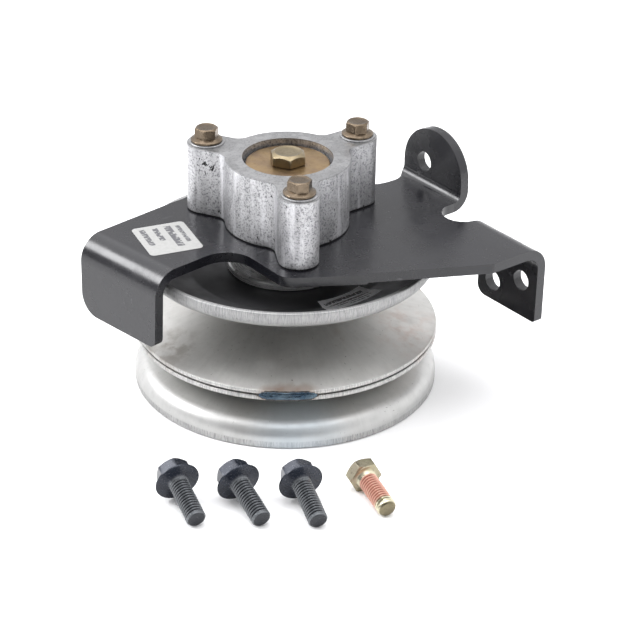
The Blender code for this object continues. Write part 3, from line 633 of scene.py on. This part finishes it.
def printed(name, paper, ink, rows, metallic, origin, heading):
    """Printed label: rows (centre v, half height, start u, end u, size) of plain dashes."""
    look = Look(name, Metallic=metallic)
    moved = look.vector("SUBTRACT", look.place, origin)
    unturned = look.add("VectorRotate", {"Vector": moved, "Angle": -heading},
                        rotation_type="Z_AXIS")
    u, v, _ = look.axes(unturned.outputs[0])
    ink_mask = 0.0
    for centre, half, start, end, size in rows:
        off = look.math("SUBTRACT", v, centre)
        row = look.ramp(look.math("ABSOLUTE", off), half, half * 0.8)
        inside = look.times(look.math("GREATER_THAN", u, start), look.math("LESS_THAN", u, end))
        cell = look.add("CombineXYZ", {"X": look.times(u, 1 / size),
                                       "Y": look.times(off, 0.35 / size),
                                       "Z": centre * 5000}).outputs[0]
        dash = look.add("TexNoise", {"Vector": cell, "Scale": 1.0, "Detail": 0.0})
        on = look.ramp(dash.outputs["Fac"], 0.36, 0.41)
        ink_mask = look.math("MAXIMUM", ink_mask, look.times(look.times(row, inside), on))
    fibre = look.noise(600, 3)
    colour = look.mix(look.ramp(fibre, 0.35, 0.7), paper, scaled(paper, 0.93))
    return look.finished(
        look.mix(look.times(ink_mask, 0.88), colour, ink),
        look.ramp(fibre, 0.3, 0.7, 0.36, 0.48),
        look.bump(fibre, 0.00002, 0.4))


# ---- bracket
def left_point(u, v):
    """Point of the left arm: u runs out towards its flange, v runs along the flange."""
    out = Vector(polar(1, LEFT_TURN))
    along = Vector((out.y, -out.x))
    return u * out + v * along


def blank_corners():
    """Corners of the flat blank before bending, anticlockwise, with their radii."""
    bend_gain = FLANGE_BEND_R * (pi / 2 - 2)
    right_end = RIGHT_FACE_X + bend_gain + PLATE_TOP - RIGHT_BOTTOM_Z
    left_end = LEFT_FACE_U + bend_gain + PLATE_TOP - LEFT_BOTTOM_Z
    ear_end = EAR_FACE_X + EAR_BEND_R * (pi / 2 - 2) + EAR_TOP_Z - PLATE_TOP
    ear_r = (EAR_LEFT_Y - EAR_RIGHT_Y) / 2 - 0.01 * MM
    back_left = left_point(left_end, LEFT_BACK_V)
    front_left = left_point(left_end, LEFT_FRONT_V)
    arm_v = -0.4 * MM
    arm_y = (arm_v + ARM_X * sin(-LEFT_TURN)) / -cos(LEFT_TURN)
    return [
        (right_end, RIGHT_FRONT_Y, 1.5 * MM),
        (right_end, RIGHT_BACK_Y, 5 * MM),
        (NOTCH_X, NOTCH_FRONT_Y, NOTCH_R),
        (NOTCH_X, NOTCH_BACK_Y, NOTCH_R),
        (ear_end, EAR_RIGHT_Y, ear_r),
        (ear_end, EAR_LEFT_Y, ear_r),
        (75.5 * MM, EAR_LEFT_Y, 4 * MM),
        mm(70.0, 6.3, 8),
        mm(60.0, 6.4, 18),
        mm(-24.4, 46.9, 15),
        (back_left.x, back_left.y, 9.5 * MM),
        (front_left.x, front_left.y, 4 * MM),
        (ARM_X, arm_y, 13 * MM),
        (ARM_X, -42.4 * MM, 8 * MM),
        mm(-3.0, -60.5, 0),
        mm(-2.4, -59.3, 0),
        (46.8 * MM, RIGHT_FRONT_Y, 5 * MM),
    ]


def blank_holes():
    """Holes of the blank: spigot, housing screws, ear and right flange."""
    ear_x = EAR_FACE_X + EAR_BEND_R * (pi / 2 - 2) - PLATE_TOP
    right_x = RIGHT_FACE_X + FLANGE_BEND_R * (pi / 2 - 2) + PLATE_TOP
    holes = [(0, 0, SPIGOT_HOLE_R), (ear_x + EAR_HOLE[1], EAR_HOLE[0], MOUNT_HOLE_R)]
    holes += [(x, y, SCREW_R) for x, y in SCREW_PLACES]
    holes += [(right_x - z, y, MOUNT_HOLE_R) for y, z in RIGHT_HOLES]
    return holes


def bend(bm, start, out, radius, down, inside, steps=20):
    """Fold what lies beyond a bend line through 90 degrees about a cylinder of this radius."""
    reach = radius * pi / 2
    for i in range(steps + 1):
        line = out * (start + reach * i / steps)
        everything = bm.verts[:] + bm.edges[:] + bm.faces[:]
        ops.bisect_plane(bm, geom=everything, dist=1e-7, plane_co=line, plane_no=out)
    sign = -1 if down else 1
    for vert in bm.verts:
        beyond = vert.co.dot(out) - start
        if beyond <= 1e-7 or not inside(vert.co):
            continue
        turn = min(beyond, reach) / radius
        rest = max(beyond - reach, 0)
        vert.co += out * (radius * sin(turn) - beyond)
        vert.co.z += sign * (radius * (1 - cos(turn)) + rest)


def bracket_mesh():
    flat = filled("bracket_blank", rounded(blank_corners()), blank_holes())
    left_out = Vector(polar(1, LEFT_TURN, 0))
    right_out = Vector((1, 0, 0))
    notch_y = (NOTCH_FRONT_Y + NOTCH_BACK_Y) / 2

    def build(bm):
        bm.from_mesh(flat)
        ops.remove_doubles(bm, verts=bm.verts, dist=1e-6)
        for face in bm.faces:
            if face.normal.z < 0:
                face.normal_flip()
        bend(bm, LEFT_FACE_U - FLANGE_BEND_R, left_out, FLANGE_BEND_R, True, lambda p: True)
        bend(bm, RIGHT_FACE_X - FLANGE_BEND_R, right_out, FLANGE_BEND_R, True,
             lambda p: p.y < notch_y)
        bend(bm, EAR_FACE_X - EAR_BEND_R, right_out, EAR_BEND_R, False, lambda p: p.y > notch_y)
        ops.dissolve_limit(bm, angle_limit=radians(0.5), verts=bm.verts, edges=bm.edges)
        ops.translate(bm, verts=bm.verts, vec=(0, 0, PLATE_TOP))

    return mesh_from("bracket_body", build)


def make_bracket():
    made = add_piece("bracket_body", bracket_mesh(), black_paint(), "bracket_assembly",
                     "black_paint", "bracket")
    sheet = made.modifiers.new("plate thickness", "SOLIDIFY")
    sheet.thickness = PLATE_T
    sheet.offset = -1
    sheet.use_even_offset = True
    soften(made, 0.45 * MM)
    shade(made.data, 40)
    fix(made)


# ---- bearing housing
def housing_outline():
    """Round wall with three ears, each blended into it by a fillet on both sides."""
    reach, side = HOUSING_R + HOUSING_FILLET_R, HOUSING_EAR_R + HOUSING_FILLET_R
    blend = atan2(side, sqrt(reach ** 2 - side ** 2))
    quarter = pi / 2
    points = []
    for i, turn in enumerate(SCREW_TURNS):
        ear = SCREW_PLACES[i]
        before, after = polar(reach, turn - blend), polar(reach, turn + blend)
        points += arc(before, HOUSING_FILLET_R, turn - blend + pi, turn + quarter, 10)
        points += arc(ear, HOUSING_EAR_R, turn - quarter, turn + quarter, 26)[1:-1]
        points += arc(after, HOUSING_FILLET_R, turn - quarter, turn + blend - pi, 10)
        following = SCREW_TURNS[(i + 1) % 3] + (2 * pi if i == 2 else 0)
        points += arc((0, 0), HOUSING_R, turn + blend, following - blend, 24)[1:-1]
    return points


def make_housing():
    """Die-cast body, its spigot through the bracket, and its machined bore."""
    cast = cast_aluminium(), "bracket_assembly", "cast_aluminium"
    flat = filled("housing_outline", housing_outline(), [(0, 0, HOUSING_BORE_R)])
    body = mesh_from("housing_body", lambda bm: extruded(bm, flat, HOUSING_BASE, HOUSING_TOP))
    made = add_piece("housing_body", shade(body, 40), *cast, "bearing_housing")
    soften(made, 0.7 * MM, 4)
    fix(made)
    spigot = ring_section(HOUSING_BORE_R, SPIGOT_R, low("bearing_housing").z, HOUSING_BASE)
    web = ring_section(WEB_BORE_R, HOUSING_BORE_R, WEB_LOW_Z, WEB_HIGH_Z)
    for name, section in (("housing_spigot", spigot), ("housing_web", web)):
        add_turned(name, section, *cast)
    boss = ring_section(SCREW_R, BOSS_R, HOUSING_TOP - 1 * MM, HOUSING_TOP + BOSS_T, 0.4 * MM)
    for i, (x, y) in enumerate(SCREW_PLACES):
        name = f"housing_boss_{i + 1}"
        add_piece(name, placed(turned(name, boss, ROUND), (x, y, 0)), *cast)


# ---- sheaves
def groove_depth(rim):
    """Depth from an outer sheave's rim edge to the flat of its belt face."""
    rim_r, lip_h, bend_r = rim
    cone_r = rim_r - bend_r * (1 - SIN_B)
    return lip_h + bend_r * COS_B + (cone_r - OUTER_FLAT_R) * TAN_B


def outer_sheave_section(rim, bore_r, place):
    """Section of an outer sheave; place(depth) is the height at that depth from the rim edge."""
    rim_r, lip_h, bend_r = rim
    edge, quarter = 0.7 * MM, pi / 2
    end = quarter - BELT_ANGLE
    centre = (rim_r - bend_r, lip_h)
    flare = 9 * MM                  # radius of the turn from the cone into the flat middle
    depth = groove_depth(rim)
    belt = arc((rim_r - edge, edge), edge, -quarter, 0, 5) + arc(centre, bend_r, 0, end, 22)
    back = arc((rim_r - SHEET_T + edge, edge), edge, -quarter, -2 * quarter, 5)
    back += arc(centre, bend_r - SHEET_T, 0, end, 22)
    start_r = OUTER_FLAT_R + flare * tan(BELT_ANGLE / 2)
    for i in range(9):
        turn = BELT_ANGLE * (1 - i / 8)
        radius = start_r - flare * (SIN_B - sin(turn))
        rise = flare * (cos(turn) - COS_B)
        cone = depth - (start_r - OUTER_FLAT_R) * TAN_B
        belt.append((radius, cone + rise))
        back.append((radius - SHEET_T * sin(turn), cone + rise - SHEET_T * cos(turn)))
    belt += [(bore_r, depth)]
    back += [(bore_r, depth - SHEET_T)]
    return [(r, place(w)) for r, w in belt + back[::-1]]


def middle_plate_section(up, flat_r):
    """Section of one plate of the middle sheave, which rises or falls from the rim."""
    gap = 0.12 * MM
    thickness = (MIDDLE_RIM_HALF - gap) * COS_B
    rise = (MIDDLE_RIM_R - flat_r) * TAN_B + MIDDLE_RIM_HALF
    bore_r = outer_radius("slider_bushing") + FIT
    corners = [
        (MIDDLE_RIM_R, gap, 0.75 * MM),
        (MIDDLE_RIM_R, MIDDLE_RIM_HALF, 0.75 * MM),
        (flat_r, rise, 3 * MM),
        (bore_r, rise, 0.2 * MM),
        (bore_r, rise - thickness, 0.2 * MM),
        (flat_r - thickness * tan(BELT_ANGLE / 2), rise - thickness, 3 * MM),
    ]
    return [(r, MIDDLE_RIM_Z + up * w) for r, w in rounded(corners, 8)]


def weld_bead_mesh(name, turn, half_l, depth, height, seed):
    """Bead along the rim seam, with the ripples of the weld pool."""
    seat_r = MIDDLE_RIM_R - 0.25 * MM

    def build(bm):
        ops.create_uvsphere(bm, u_segments=36, v_segments=64, radius=1.0)
        for vert in bm.verts:
            along = copysign(abs(vert.co.z) ** 0.8, vert.co.z)
            full = (1 - along ** 6) ** 0.5 if abs(along) < 1 else 0.0
            side = Vector((vert.co.x, vert.co.y))
            side = side.normalized() if side.length > 1e-6 else Vector((0, 0))
            ripple = 0.05 * sin(along * 46 + 2.2 * side.y ** 2)
            rough = 0.10 * noise.noise(Vector((along * 9, side.x * 2, side.y * 2 + seed)))
            angle = turn + along * half_l / seat_r
            radius = seat_r + side.x * depth * full * (1 + ripple + rough)
            z = MIDDLE_RIM_Z + side.y * height * full * (1 + rough)
            vert.co = polar(radius, angle, z)
        ops.remove_doubles(bm, verts=bm.verts, dist=1e-6)
        ops.recalc_face_normals(bm, faces=bm.faces)

    mesh = mesh_from(name, build)
    mesh.shade_smooth()
    return mesh


def make_sheaves():
    bore_r = SHAFT_R + FIT
    lower = outer_sheave_section(LOWER_RIM, bore_r, lambda w: w)
    add_turned("lower_sheave_body", lower, lower_zinc(), "spindle", "zinc_steel", "lower_sheave")
    upper = outer_sheave_section(UPPER_RIM, bore_r, lambda w: UPPER_RIM_TOP - w)
    add_turned("upper_sheave_body", upper, upper_zinc(), "spindle", "zinc_steel", "upper_sheave")
    zinc = middle_zinc()
    fall = MIDDLE_RIM_Z - MIDDLE_RIM_HALF - low("middle_sheave_lower_plate").z
    lower_flat_r = MIDDLE_RIM_R - fall / TAN_B
    for side, up, flat_r in (("upper", 1, MIDDLE_FLAT_R), ("lower", -1, lower_flat_r)):
        add_turned(f"middle_{side}_cone", middle_plate_section(up, flat_r), zinc, "middle_sheave",
                   "zinc_steel", f"middle_sheave_{side}_plate")
    weld, soot = weld_steel(), sooty_steel()
    for i, turn in enumerate(BEAD_TURNS):
        name = f"weld_bead_body_{i + 1}"
        bead = weld_bead_mesh(name, turn, *mm(12.6, 1.0, 1.9), i)
        add_piece(name, bead, weld, "middle_sheave", "weld_steel", f"weld_bead_{i + 1}")
        name = f"weld_edge_{i + 1}"
        edge = weld_bead_mesh(name, turn, *mm(13.4, 0.45, 2.45), i + 7)
        add_piece(name, edge, soot, "middle_sheave", "weld_steel")


# ---- spindle
def half_corners(across):
    """Half the width of a hexagon across its corners."""
    return across / 2 / cos(pi / 6)


def hexagon_ring(across, edge, per_side=12):
    """Outline of a hexagon with rounded corners, as (angle, radius) pairs."""
    corner_r = half_corners(across)
    outline = []
    arcs = rounded([polar(corner_r, radians(60 * i + 30), edge) for i in range(6)], 4)
    for i, point in enumerate(arcs):
        outline.append(point)
        if i % 5 == 4:
            start, end = Vector(point), Vector(arcs[(i + 1) % len(arcs)])
            outline += [tuple(start.lerp(end, k / per_side)) for k in range(1, per_side)]
    return [(atan2(y, x), hypot(x, y)) for x, y in outline]


def on_circle(outline, radius, z):
    return [polar(radius, t, z) for t, _ in outline]


def on_hexagon(outline, z, limit=1.0):
    """Ring of the hexagon, cut back to a circle of radius limit."""
    return [polar(min(r, limit), t, z) for t, r in outline]


def head_rings(across, bottom, top, cut, edge=0.25 * MM, dish=0.35 * MM):
    """Rings of a hexagon head from its top centre down: dished top, chamfered corners, flats."""
    outline = hexagon_ring(across, edge)
    face_r = across / 2 - cut
    spread = half_corners(across) - face_r
    chamfer = spread * tan(radians(32))
    rings = [on_circle(outline, face_r * k, top - dish) for k in (0.15, 0.5, 0.72)]
    rings += [on_circle(outline, face_r * 0.86, top - dish * 0.45),
              on_circle(outline, face_r * 0.93, top - 0.05 * MM),
              on_circle(outline, face_r * 0.97, top)]
    slope = spread / chamfer
    for i in range(11):
        down = chamfer * i / 10
        rings.append(on_hexagon(outline, top - 0.06 * MM - down, face_r + slope * down))
    rings.append(on_hexagon(outline, bottom))
    return outline, rings


def thread_rings(outline, radius, depth, pitch, top, bottom):
    """Rings down a thread: a helix that fades out over the last turns at both ends."""
    rings_per_turn = 8
    count = max(2, round((top - bottom) / pitch * rings_per_turn))
    rings = []
    for i in range(count + 1):
        z = top - (top - bottom) * i / count
        ends = min(1.0, (top - z) / pitch, (z - bottom) / (pitch * 0.6))
        ring = []
        for t, _ in outline:
            phase = (z / pitch - t / (2 * pi)) % 1.0
            wave = abs(2 * phase - 1)
            cut = depth * min(1.0, max(0.0, 1.35 * wave - 0.12)) * max(ends, 0.0)
            ring.append(polar(radius - cut, t, z))
        rings.append(ring)
    return rings


def screw_mesh(name, across, head_top, flange_r, flange_t, shank_r, length, pitch,
               tip_h=TIP_CHAMFER, cut=0.35 * MM):
    """Hexagon screw whose seat is at z = 0, with a thread from under its head to its tip."""
    seat_t = flange_t if flange_r else 0.35 * MM
    outline, rings = head_rings(across, seat_t + 0.5 * MM, head_top, cut)
    if flange_r:
        rings += [on_hexagon(outline, seat_t + 0.25 * MM),
                  on_circle(outline, half_corners(across) + 0.25 * MM, seat_t)]
        rim = rounded([(across / 2, seat_t + 0.1 * MM, 0), (flange_r, 0.85 * MM, 0.4 * MM),
                       (flange_r, 0, 0.3 * MM), (across / 2, 0, 0)], 5)[1:-1]
        rings += [on_circle(outline, r, z) for r, z in rim]
    else:
        rings += [on_hexagon(outline, seat_t),
                  on_circle(outline, across / 2 - 0.1 * MM, seat_t - 0.05 * MM),
                  on_circle(outline, across / 2 - 0.3 * MM, 0)]
    neck = shank_r + 0.35 * MM
    rings += [on_circle(outline, r, z) for r, z in (
        (neck + 0.5 * MM, 0), (neck, -0.2 * MM), (shank_r - 0.1 * MM, -0.9 * MM))]
    tip = -length + tip_h
    rings += thread_rings(outline, shank_r, pitch * 0.6, pitch, -1.1 * MM, tip)
    for i in range(7):
        turn = radians(15 * i)
        rings.append(on_circle(outline, shank_r - 0.15 * MM - tip_h * (1 - cos(turn)),
                               tip - 0.02 * MM - (tip_h - 0.02 * MM) * sin(turn)))
    return skin(name, rings, angle=28)


def placed(mesh, location=(0, 0, 0), rotation=(0, 0, 0)):
    """Moves a mesh, so that its object stays at the origin."""
    mesh.transform(Matrix.Translation(location) @ Euler(rotation).to_matrix().to_4x4())
    return mesh


def make_spindle():
    steel = turned_steel("machined_steel", (0.42, 0.42, 0.43))
    bright = turned_steel("hub_steel", (0.85, 0.85, 0.84), 0.3, 0.6)
    hub_low, hub_high, hub_r = low("upper_hub").z, high("upper_hub").z, outer_radius("upper_hub")
    step_z = hub_low + HUB_FLANGE_T
    hub = rounded([(SHAFT_R, hub_high, 0.2 * MM), (HUB_BOSS_R, hub_high, 0.4 * MM),
                   (HUB_BOSS_R, step_z, 1.2 * MM), (hub_r - HUB_CHAMFER, step_z, 0.25 * MM),
                   (hub_r, step_z - HUB_CHAMFER, 0.3 * MM), (hub_r, hub_low, 0.3 * MM),
                   (SHAFT_R, hub_low, 0.2 * MM)], 6)
    add_turned("hub_body", hub, bright, "spindle", "machined_steel", "upper_hub")
    outline = [(2 * pi * i / ROUND, 1.0) for i in range(ROUND)]
    edge = 0.5 * MM
    rings = [on_circle(outline, SHAFT_TIP_R - 1.5 * MM, 0),
             on_circle(outline, SHAFT_TIP_R - 0.9 * MM, 0.1 * MM)]
    rings += thread_rings(outline, SHAFT_TIP_R, 0.7 * MM, COARSE_PITCH, 13.6 * MM, 0.8 * MM)[::-1]
    rings += [on_circle(outline, r, z) for r, z in (
        (SHAFT_R, 14.2 * MM), (SHAFT_R, SHAFT_TOP_Z - edge), (SHAFT_R - edge, SHAFT_TOP_Z),
        (5.6 * MM, SHAFT_TOP_Z), (SHAFT_BORE_R, SHAFT_TOP_Z - edge),
        (SHAFT_BORE_R, SHAFT_TOP_Z - SHAFT_BORE_L))]
    add_piece("shaft_body", skin("shaft_body", rings), steel, "spindle", "machined_steel",
              "spindle_shaft")
    return steel


def nut_mesh(name, across, bottom, top, bore_r):
    """Hexagon nut with chamfered corners on both faces and a threaded bore."""
    outline = hexagon_ring(across, 0.3 * MM)
    face_r = across / 2 - 0.3 * MM
    spread = half_corners(across) - face_r
    rings = [on_circle(outline, bore_r + 0.7 * MM, top), on_circle(outline, face_r, top)]
    chamfer = [(NUT_CHAMFER_H * i / 8, face_r + spread * i / 8) for i in range(1, 9)]
    rings += [on_hexagon(outline, top - down, radius) for down, radius in chamfer]
    rings += [on_hexagon(outline, bottom + rise, radius) for rise, radius in chamfer[::-1]]
    rings += [on_circle(outline, face_r, bottom), on_circle(outline, bore_r + 0.7 * MM, bottom)]
    lead_in = 0.5 * MM
    inner = thread_rings(outline, bore_r, -0.4 * MM, COARSE_PITCH, top - lead_in, bottom + lead_in)
    return skin(name, rings + inner[::-1], closed=True, angle=28)


def make_fixings(steel):
    """Washers, nut, hexagon sleeve, bush and centre bolt of the spindle."""
    where = "spindle", "yellow_zinc"
    gold = zinc_plate("gold_washer_zinc", (0.32, 0.225, 0.12), (0.24, 0.165, 0.105), 0.34, 300)
    head = zinc_plate("gold_bolt_zinc", (0.26, 0.215, 0.14), (0.20, 0.16, 0.10), 0.28)
    washer_low, washer_top = low("top_washer").z + 0.8 * MM, high("top_washer").z
    washer_r = outer_radius("top_washer")
    foot_r, foot_z = 10.5 * MM, SHAFT_TOP_Z + FIT
    section = rounded([(SHAFT_BORE_R, washer_top, 0.3 * MM), (washer_r, washer_top, 0.45 * MM),
                       (washer_r, washer_low, 0.3 * MM), (foot_r, washer_low, 0.3 * MM),
                       (foot_r, foot_z, 0.2 * MM), (SHAFT_BORE_R, foot_z, 0.2 * MM)], 5)
    add_turned("retaining_washer", section, gold, *where, "top_washer")
    bolt_low = washer_top + 0.05 * MM
    bolt = screw_mesh("centre_bolt", CENTRE_AF, high("top_bolt").z - bolt_low, 0, 0, CENTRE_R,
                      CENTRE_L, COARSE_PITCH, cut=1.1 * MM)
    placed(bolt, (0, 0, bolt_low), (0, 0, radians(30)))
    add_piece("centre_bolt", bolt, head, *where, "top_bolt")
    box_low, box_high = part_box("lower_washer")
    ring = ring_section(SHAFT_R, box_high.y, box_low.z, box_high.z)
    add_turned("clamp_washer", ring, gold, *where, "lower_washer")
    box_low, box_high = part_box("lower_nut")
    nut = nut_mesh("clamp_nut", NUT_AF, box_low.z, box_high.z, NUT_BORE_R)
    add_piece("clamp_nut", nut, head, *where, "lower_nut")
    make_sleeve(steel)


def make_sleeve(steel):
    box_low, box_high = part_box("hub_sleeve")
    outline = hexagon_ring(SLEEVE_AF, 0.6 * MM)
    rings = [on_hexagon(outline, box_low.z), on_hexagon(outline, box_high.z),
             on_circle(outline, SHAFT_R + FIT, box_high.z),
             on_circle(outline, SHAFT_R + FIT, box_low.z)]
    add_piece("hexagon_sleeve", skin("hexagon_sleeve", rings, closed=True), steel, "spindle",
              "machined_steel", "hub_sleeve")
    box_low, box_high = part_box("slider_bushing")
    bore = hexagon_ring(BUSH_AF, 0.4 * MM)
    edge = 0.3 * MM
    rings = [on_circle(bore, box_high.y - edge, box_low.z),
             on_circle(bore, box_high.y, box_low.z + edge),
             on_circle(bore, box_high.y, box_high.z - edge),
             on_circle(bore, box_high.y - edge, box_high.z),
             on_hexagon(bore, box_high.z), on_hexagon(bore, box_low.z)]
    bronze = turned_steel("bushing_bronze", (0.50, 0.32, 0.16), 0.36)
    add_piece("sliding_bush", skin("sliding_bush", rings, closed=True), bronze, "middle_sheave",
              "bushing_bronze", "slider_bushing")


# ---- fasteners
def make_housing_screws():
    gold = zinc_plate("gold_screw_zinc", (0.16, 0.125, 0.09), (0.115, 0.088, 0.062), 0.24)
    seat = HOUSING_TOP + BOSS_T + FIT
    for i, turn in enumerate(SCREW_TURNS):
        node = f"housing_screw_{i + 1}"
        mesh = screw_mesh(f"flange_screw_{i + 1}", SCREW_AF, high(node).z - seat, SCREW_FLANGE_R,
                          SCREW_FLANGE_T, SCREW_R, SCREW_L, SCREW_PITCH)
        placed(mesh, (*SCREW_PLACES[i], seat), (0, 0, turn + radians(8)))
        add_piece(f"flange_screw_{i + 1}", mesh, gold, "bracket_assembly", "yellow_zinc", node)


def loose_piece(mesh, look, slot, node, place, length, seat_r, tip_h):
    """Rests a loose screw on the ground on the edge of its head and on the end of its thread."""
    x, y, heading = place
    tilt = atan((seat_r - LOOSE_R) / (length - tip_h))
    add_piece(mesh.name, mesh, look, node, slot, node, location=(x, y, seat_r * cos(tilt)),
              rotation=(0, tilt - pi / 2, radians(heading)))


def make_loose_fasteners():
    black = black_phosphate()
    for i, place in enumerate(LOOSE_PLACES):
        mesh = screw_mesh(f"black_screw_{i + 1}", LOOSE_AF, LOOSE_HEAD_H, LOOSE_FLANGE_R,
                          LOOSE_FLANGE_T, LOOSE_R, LOOSE_L, LOOSE_PITCH)
        placed(mesh, rotation=(0, 0, radians(30)))
        loose_piece(mesh, black, "black_phosphate", f"mounting_screw_{i + 1}", place, LOOSE_L,
                    LOOSE_FLANGE_R, TIP_CHAMFER)
    mesh = screw_mesh("patch_bolt", LOOSE_AF, LOCKED_HEAD_H, 0, 0, LOOSE_R, LOCKED_L, LOOSE_PITCH,
                      LOCKED_TIP)
    loose_piece(mesh, thread_lock(), "pale_zinc", "thread_locked_bolt", LOCKED_PLACE, LOCKED_L,
                LOOSE_AF / 2, LOCKED_TIP)


# ---- labels
def make_plate_label():
    centre, heading = Vector((-52.2, 17.5, 0)) * MM, radians(-15.0)
    half_w, half_h = mm(12.1, 13.9)
    corners = [(x, y, 2.2 * MM) for x, y in ((half_w, -half_h), (half_w, half_h),
                                             (-half_w, half_h), (-half_w, -half_h))]
    flat = filled("label_outline", rounded(corners, 8), [])
    mesh = mesh_from("label_sheet", lambda bm: extruded(bm, flat, 0.02 * MM, 0.14 * MM))
    placed(mesh, centre + Vector((0, 0, PLATE_TOP)), (0, 0, heading))
    rows = [mm(8.2, 1.1, -10.5, 6.0, 0.55), mm(3.6, 1.8, -11.5, 9.0, 0.9),
            mm(-2.2, 1.4, -11.0, 1.5, 0.7), mm(-8.0, 1.4, -11.5, 4.5, 0.65)]
    paper = printed("label_paper", (0.37, 0.37, 0.36), (0.05, 0.05, 0.06), rows, 0.0,
                    centre + Vector((0, 0, PLATE_TOP)), heading - radians(90))
    add_piece("label_sheet", shade(mesh), paper, "bracket_assembly", "label_paper", "plate_label")


def make_pulley_label():
    """Foil patch half on the upper sheave's flat middle and half up its cone."""
    turn, half_turn = radians(-88.5), radians(18.0)
    near_r, far_r = mm(38.0, 50.0)
    flat_z = UPPER_RIM_TOP - groove_depth(UPPER_RIM)

    def build(bm):
        ops.create_grid(bm, x_segments=48, y_segments=10, size=1.0)
        for vert in bm.verts:
            radius = near_r + (far_r - near_r) * (vert.co.y + 1) / 2
            angle = turn + vert.co.x * half_turn
            climb = max(radius - OUTER_FLAT_R, 0) * TAN_B
            z = flat_z + climb + SHEET_T / COS_B + 0.14 * MM
            vert.co = polar(radius, angle, z)
        lower = ops.extrude_face_region(bm, geom=bm.faces[:])["geom"]
        verts = [v for v in lower if isinstance(v, bmesh.types.BMVert)]
        ops.translate(bm, verts=verts, vec=(0, 0, -0.12 * MM))
        ops.recalc_face_normals(bm, faces=bm.faces)

    middle_r = (near_r + far_r) / 2
    origin = Vector(polar(middle_r, turn, 0))
    rows = [mm(3.2, 1.15, -11.5, 9.5, 0.8), mm(0.6, 0.6, -11.0, 11.0, 0.4),
            mm(-1.5, 0.6, -8.0, 11.0, 0.4), mm(-3.7, 0.6, -3.0, 8.0, 0.4)]
    # Matt white at 0.95 rather than metal: the foil's brightness in the bracket's shade is drawn
    # into its colour, partly painted reflection of the pale room.
    foil = printed("label_foil", (0.95, 0.95, 0.96), (0.10, 0.10, 0.11), rows, 0.0, origin,
                   turn + radians(90))
    add_piece("foil_patch", shade(mesh_from("foil_patch", build)), foil, "spindle", "label_foil",
              "pulley_label")


# ---- bearings
def dress_bearings(steel):
    """Procedural finishes for the CAD nodes that stay: bearing rings, balls, cages and seals."""
    race = turned_steel("bearing_steel", (0.62, 0.62, 0.64), 0.2)
    rubber = plain_rubber()
    for name, node in NODES.items():
        if node.hide_render:
            continue
        if "seal" in name:
            look = rubber
        elif "cage" in name or "spacer" in name:
            look = steel
        else:
            look = race
        node.data.materials.clear()
        node.data.materials.append(look.material)


# ---- surroundings
def add_floor():
    def build(bm):
        ops.create_grid(bm, x_segments=1, y_segments=1, size=6.0)

    look = Look("white_floor", Specular_IOR_Level=0.2)
    grain = look.noise(3, 2)
    look.set("Base Color", look.mix(look.ramp(grain, 0.2, 0.8), (0.95,) * 3, (0.97,) * 3))
    look.set("Roughness", look.ramp(grain, 0.2, 0.8, 0.75, 0.85))
    mesh = mesh_from("floor", build)
    mesh.materials.append(look.material)
    floor = linked("floor", mesh)
    floor.location.z = -0.2 * MM


def add_lights():
    """A room that is dark behind the camera and pale beyond the object, with one soft window."""
    world = bpy.data.worlds.new("white_room")
    world.use_nodes = True
    room = Graph(world.node_tree)
    way = room.add("TexCoord").outputs["Generated"]

    def toward(direction, start, end, low_value, high_value):
        """Smooth step in the cosine of the angle to a direction."""
        cosine = room.vector("DOT_PRODUCT", way, Vector(direction).normalized(), "Value")
        return room.ramp(cosine, start, end, low_value, high_value)

    total = toward((0.62, 0.78, 0.25), -0.9, 0.9, 0.36, 0.94)
    for light in (((0, 0, 1), 0.788, 0.966, 0.0, 3.0),                  # ceiling
                  ((0.0, 0.69, 0.72), 0.848, 0.951, 0.0, 1.2),          # window
                  ((-0.55, 0.55, 0.62), 0.955, 0.990, 0.0, 14.0),       # bright strip
                  ((0.85, -0.5, 0.25), 0.2, 0.9, 0.0, 0.9)):            # pale side
        total = room.math("ADD", total, toward(*light))
    back = world.node_tree.nodes["Background"]
    room.feed(back.inputs["Strength"], total)
    back.inputs["Color"].default_value = (0.985, 0.985, 1.0, 1.0)
    bpy.context.scene.world = world
    bpy.context.scene.view_settings.view_transform = "Standard"


def add_camera():
    """Long lens above and in front of the object, rolled slightly."""
    data = bpy.data.cameras.new("camera")
    data.sensor_width = 36.0
    data.lens = 123.3
    data.clip_start = 0.01
    camera = linked("camera", data)
    turn = (Matrix.Rotation(radians(-38.4), 4, "Z")
            @ Matrix.Rotation(radians(90 - 28.54), 4, "X")
            @ Matrix.Rotation(radians(1.15), 4, "Z"))
    camera.matrix_world = Matrix.Translation((-0.5232, -0.6814, 0.4959)) @ turn
    bpy.context.scene.camera = camera


add_camera()
add_floor()
add_lights()
make_bracket()
make_housing()
make_sheaves()
shaft_steel = make_spindle()
make_fixings(shaft_steel)
make_housing_screws()
make_loose_fasteners()
make_plate_label()
make_pulley_label()
dress_bearings(shaft_steel)
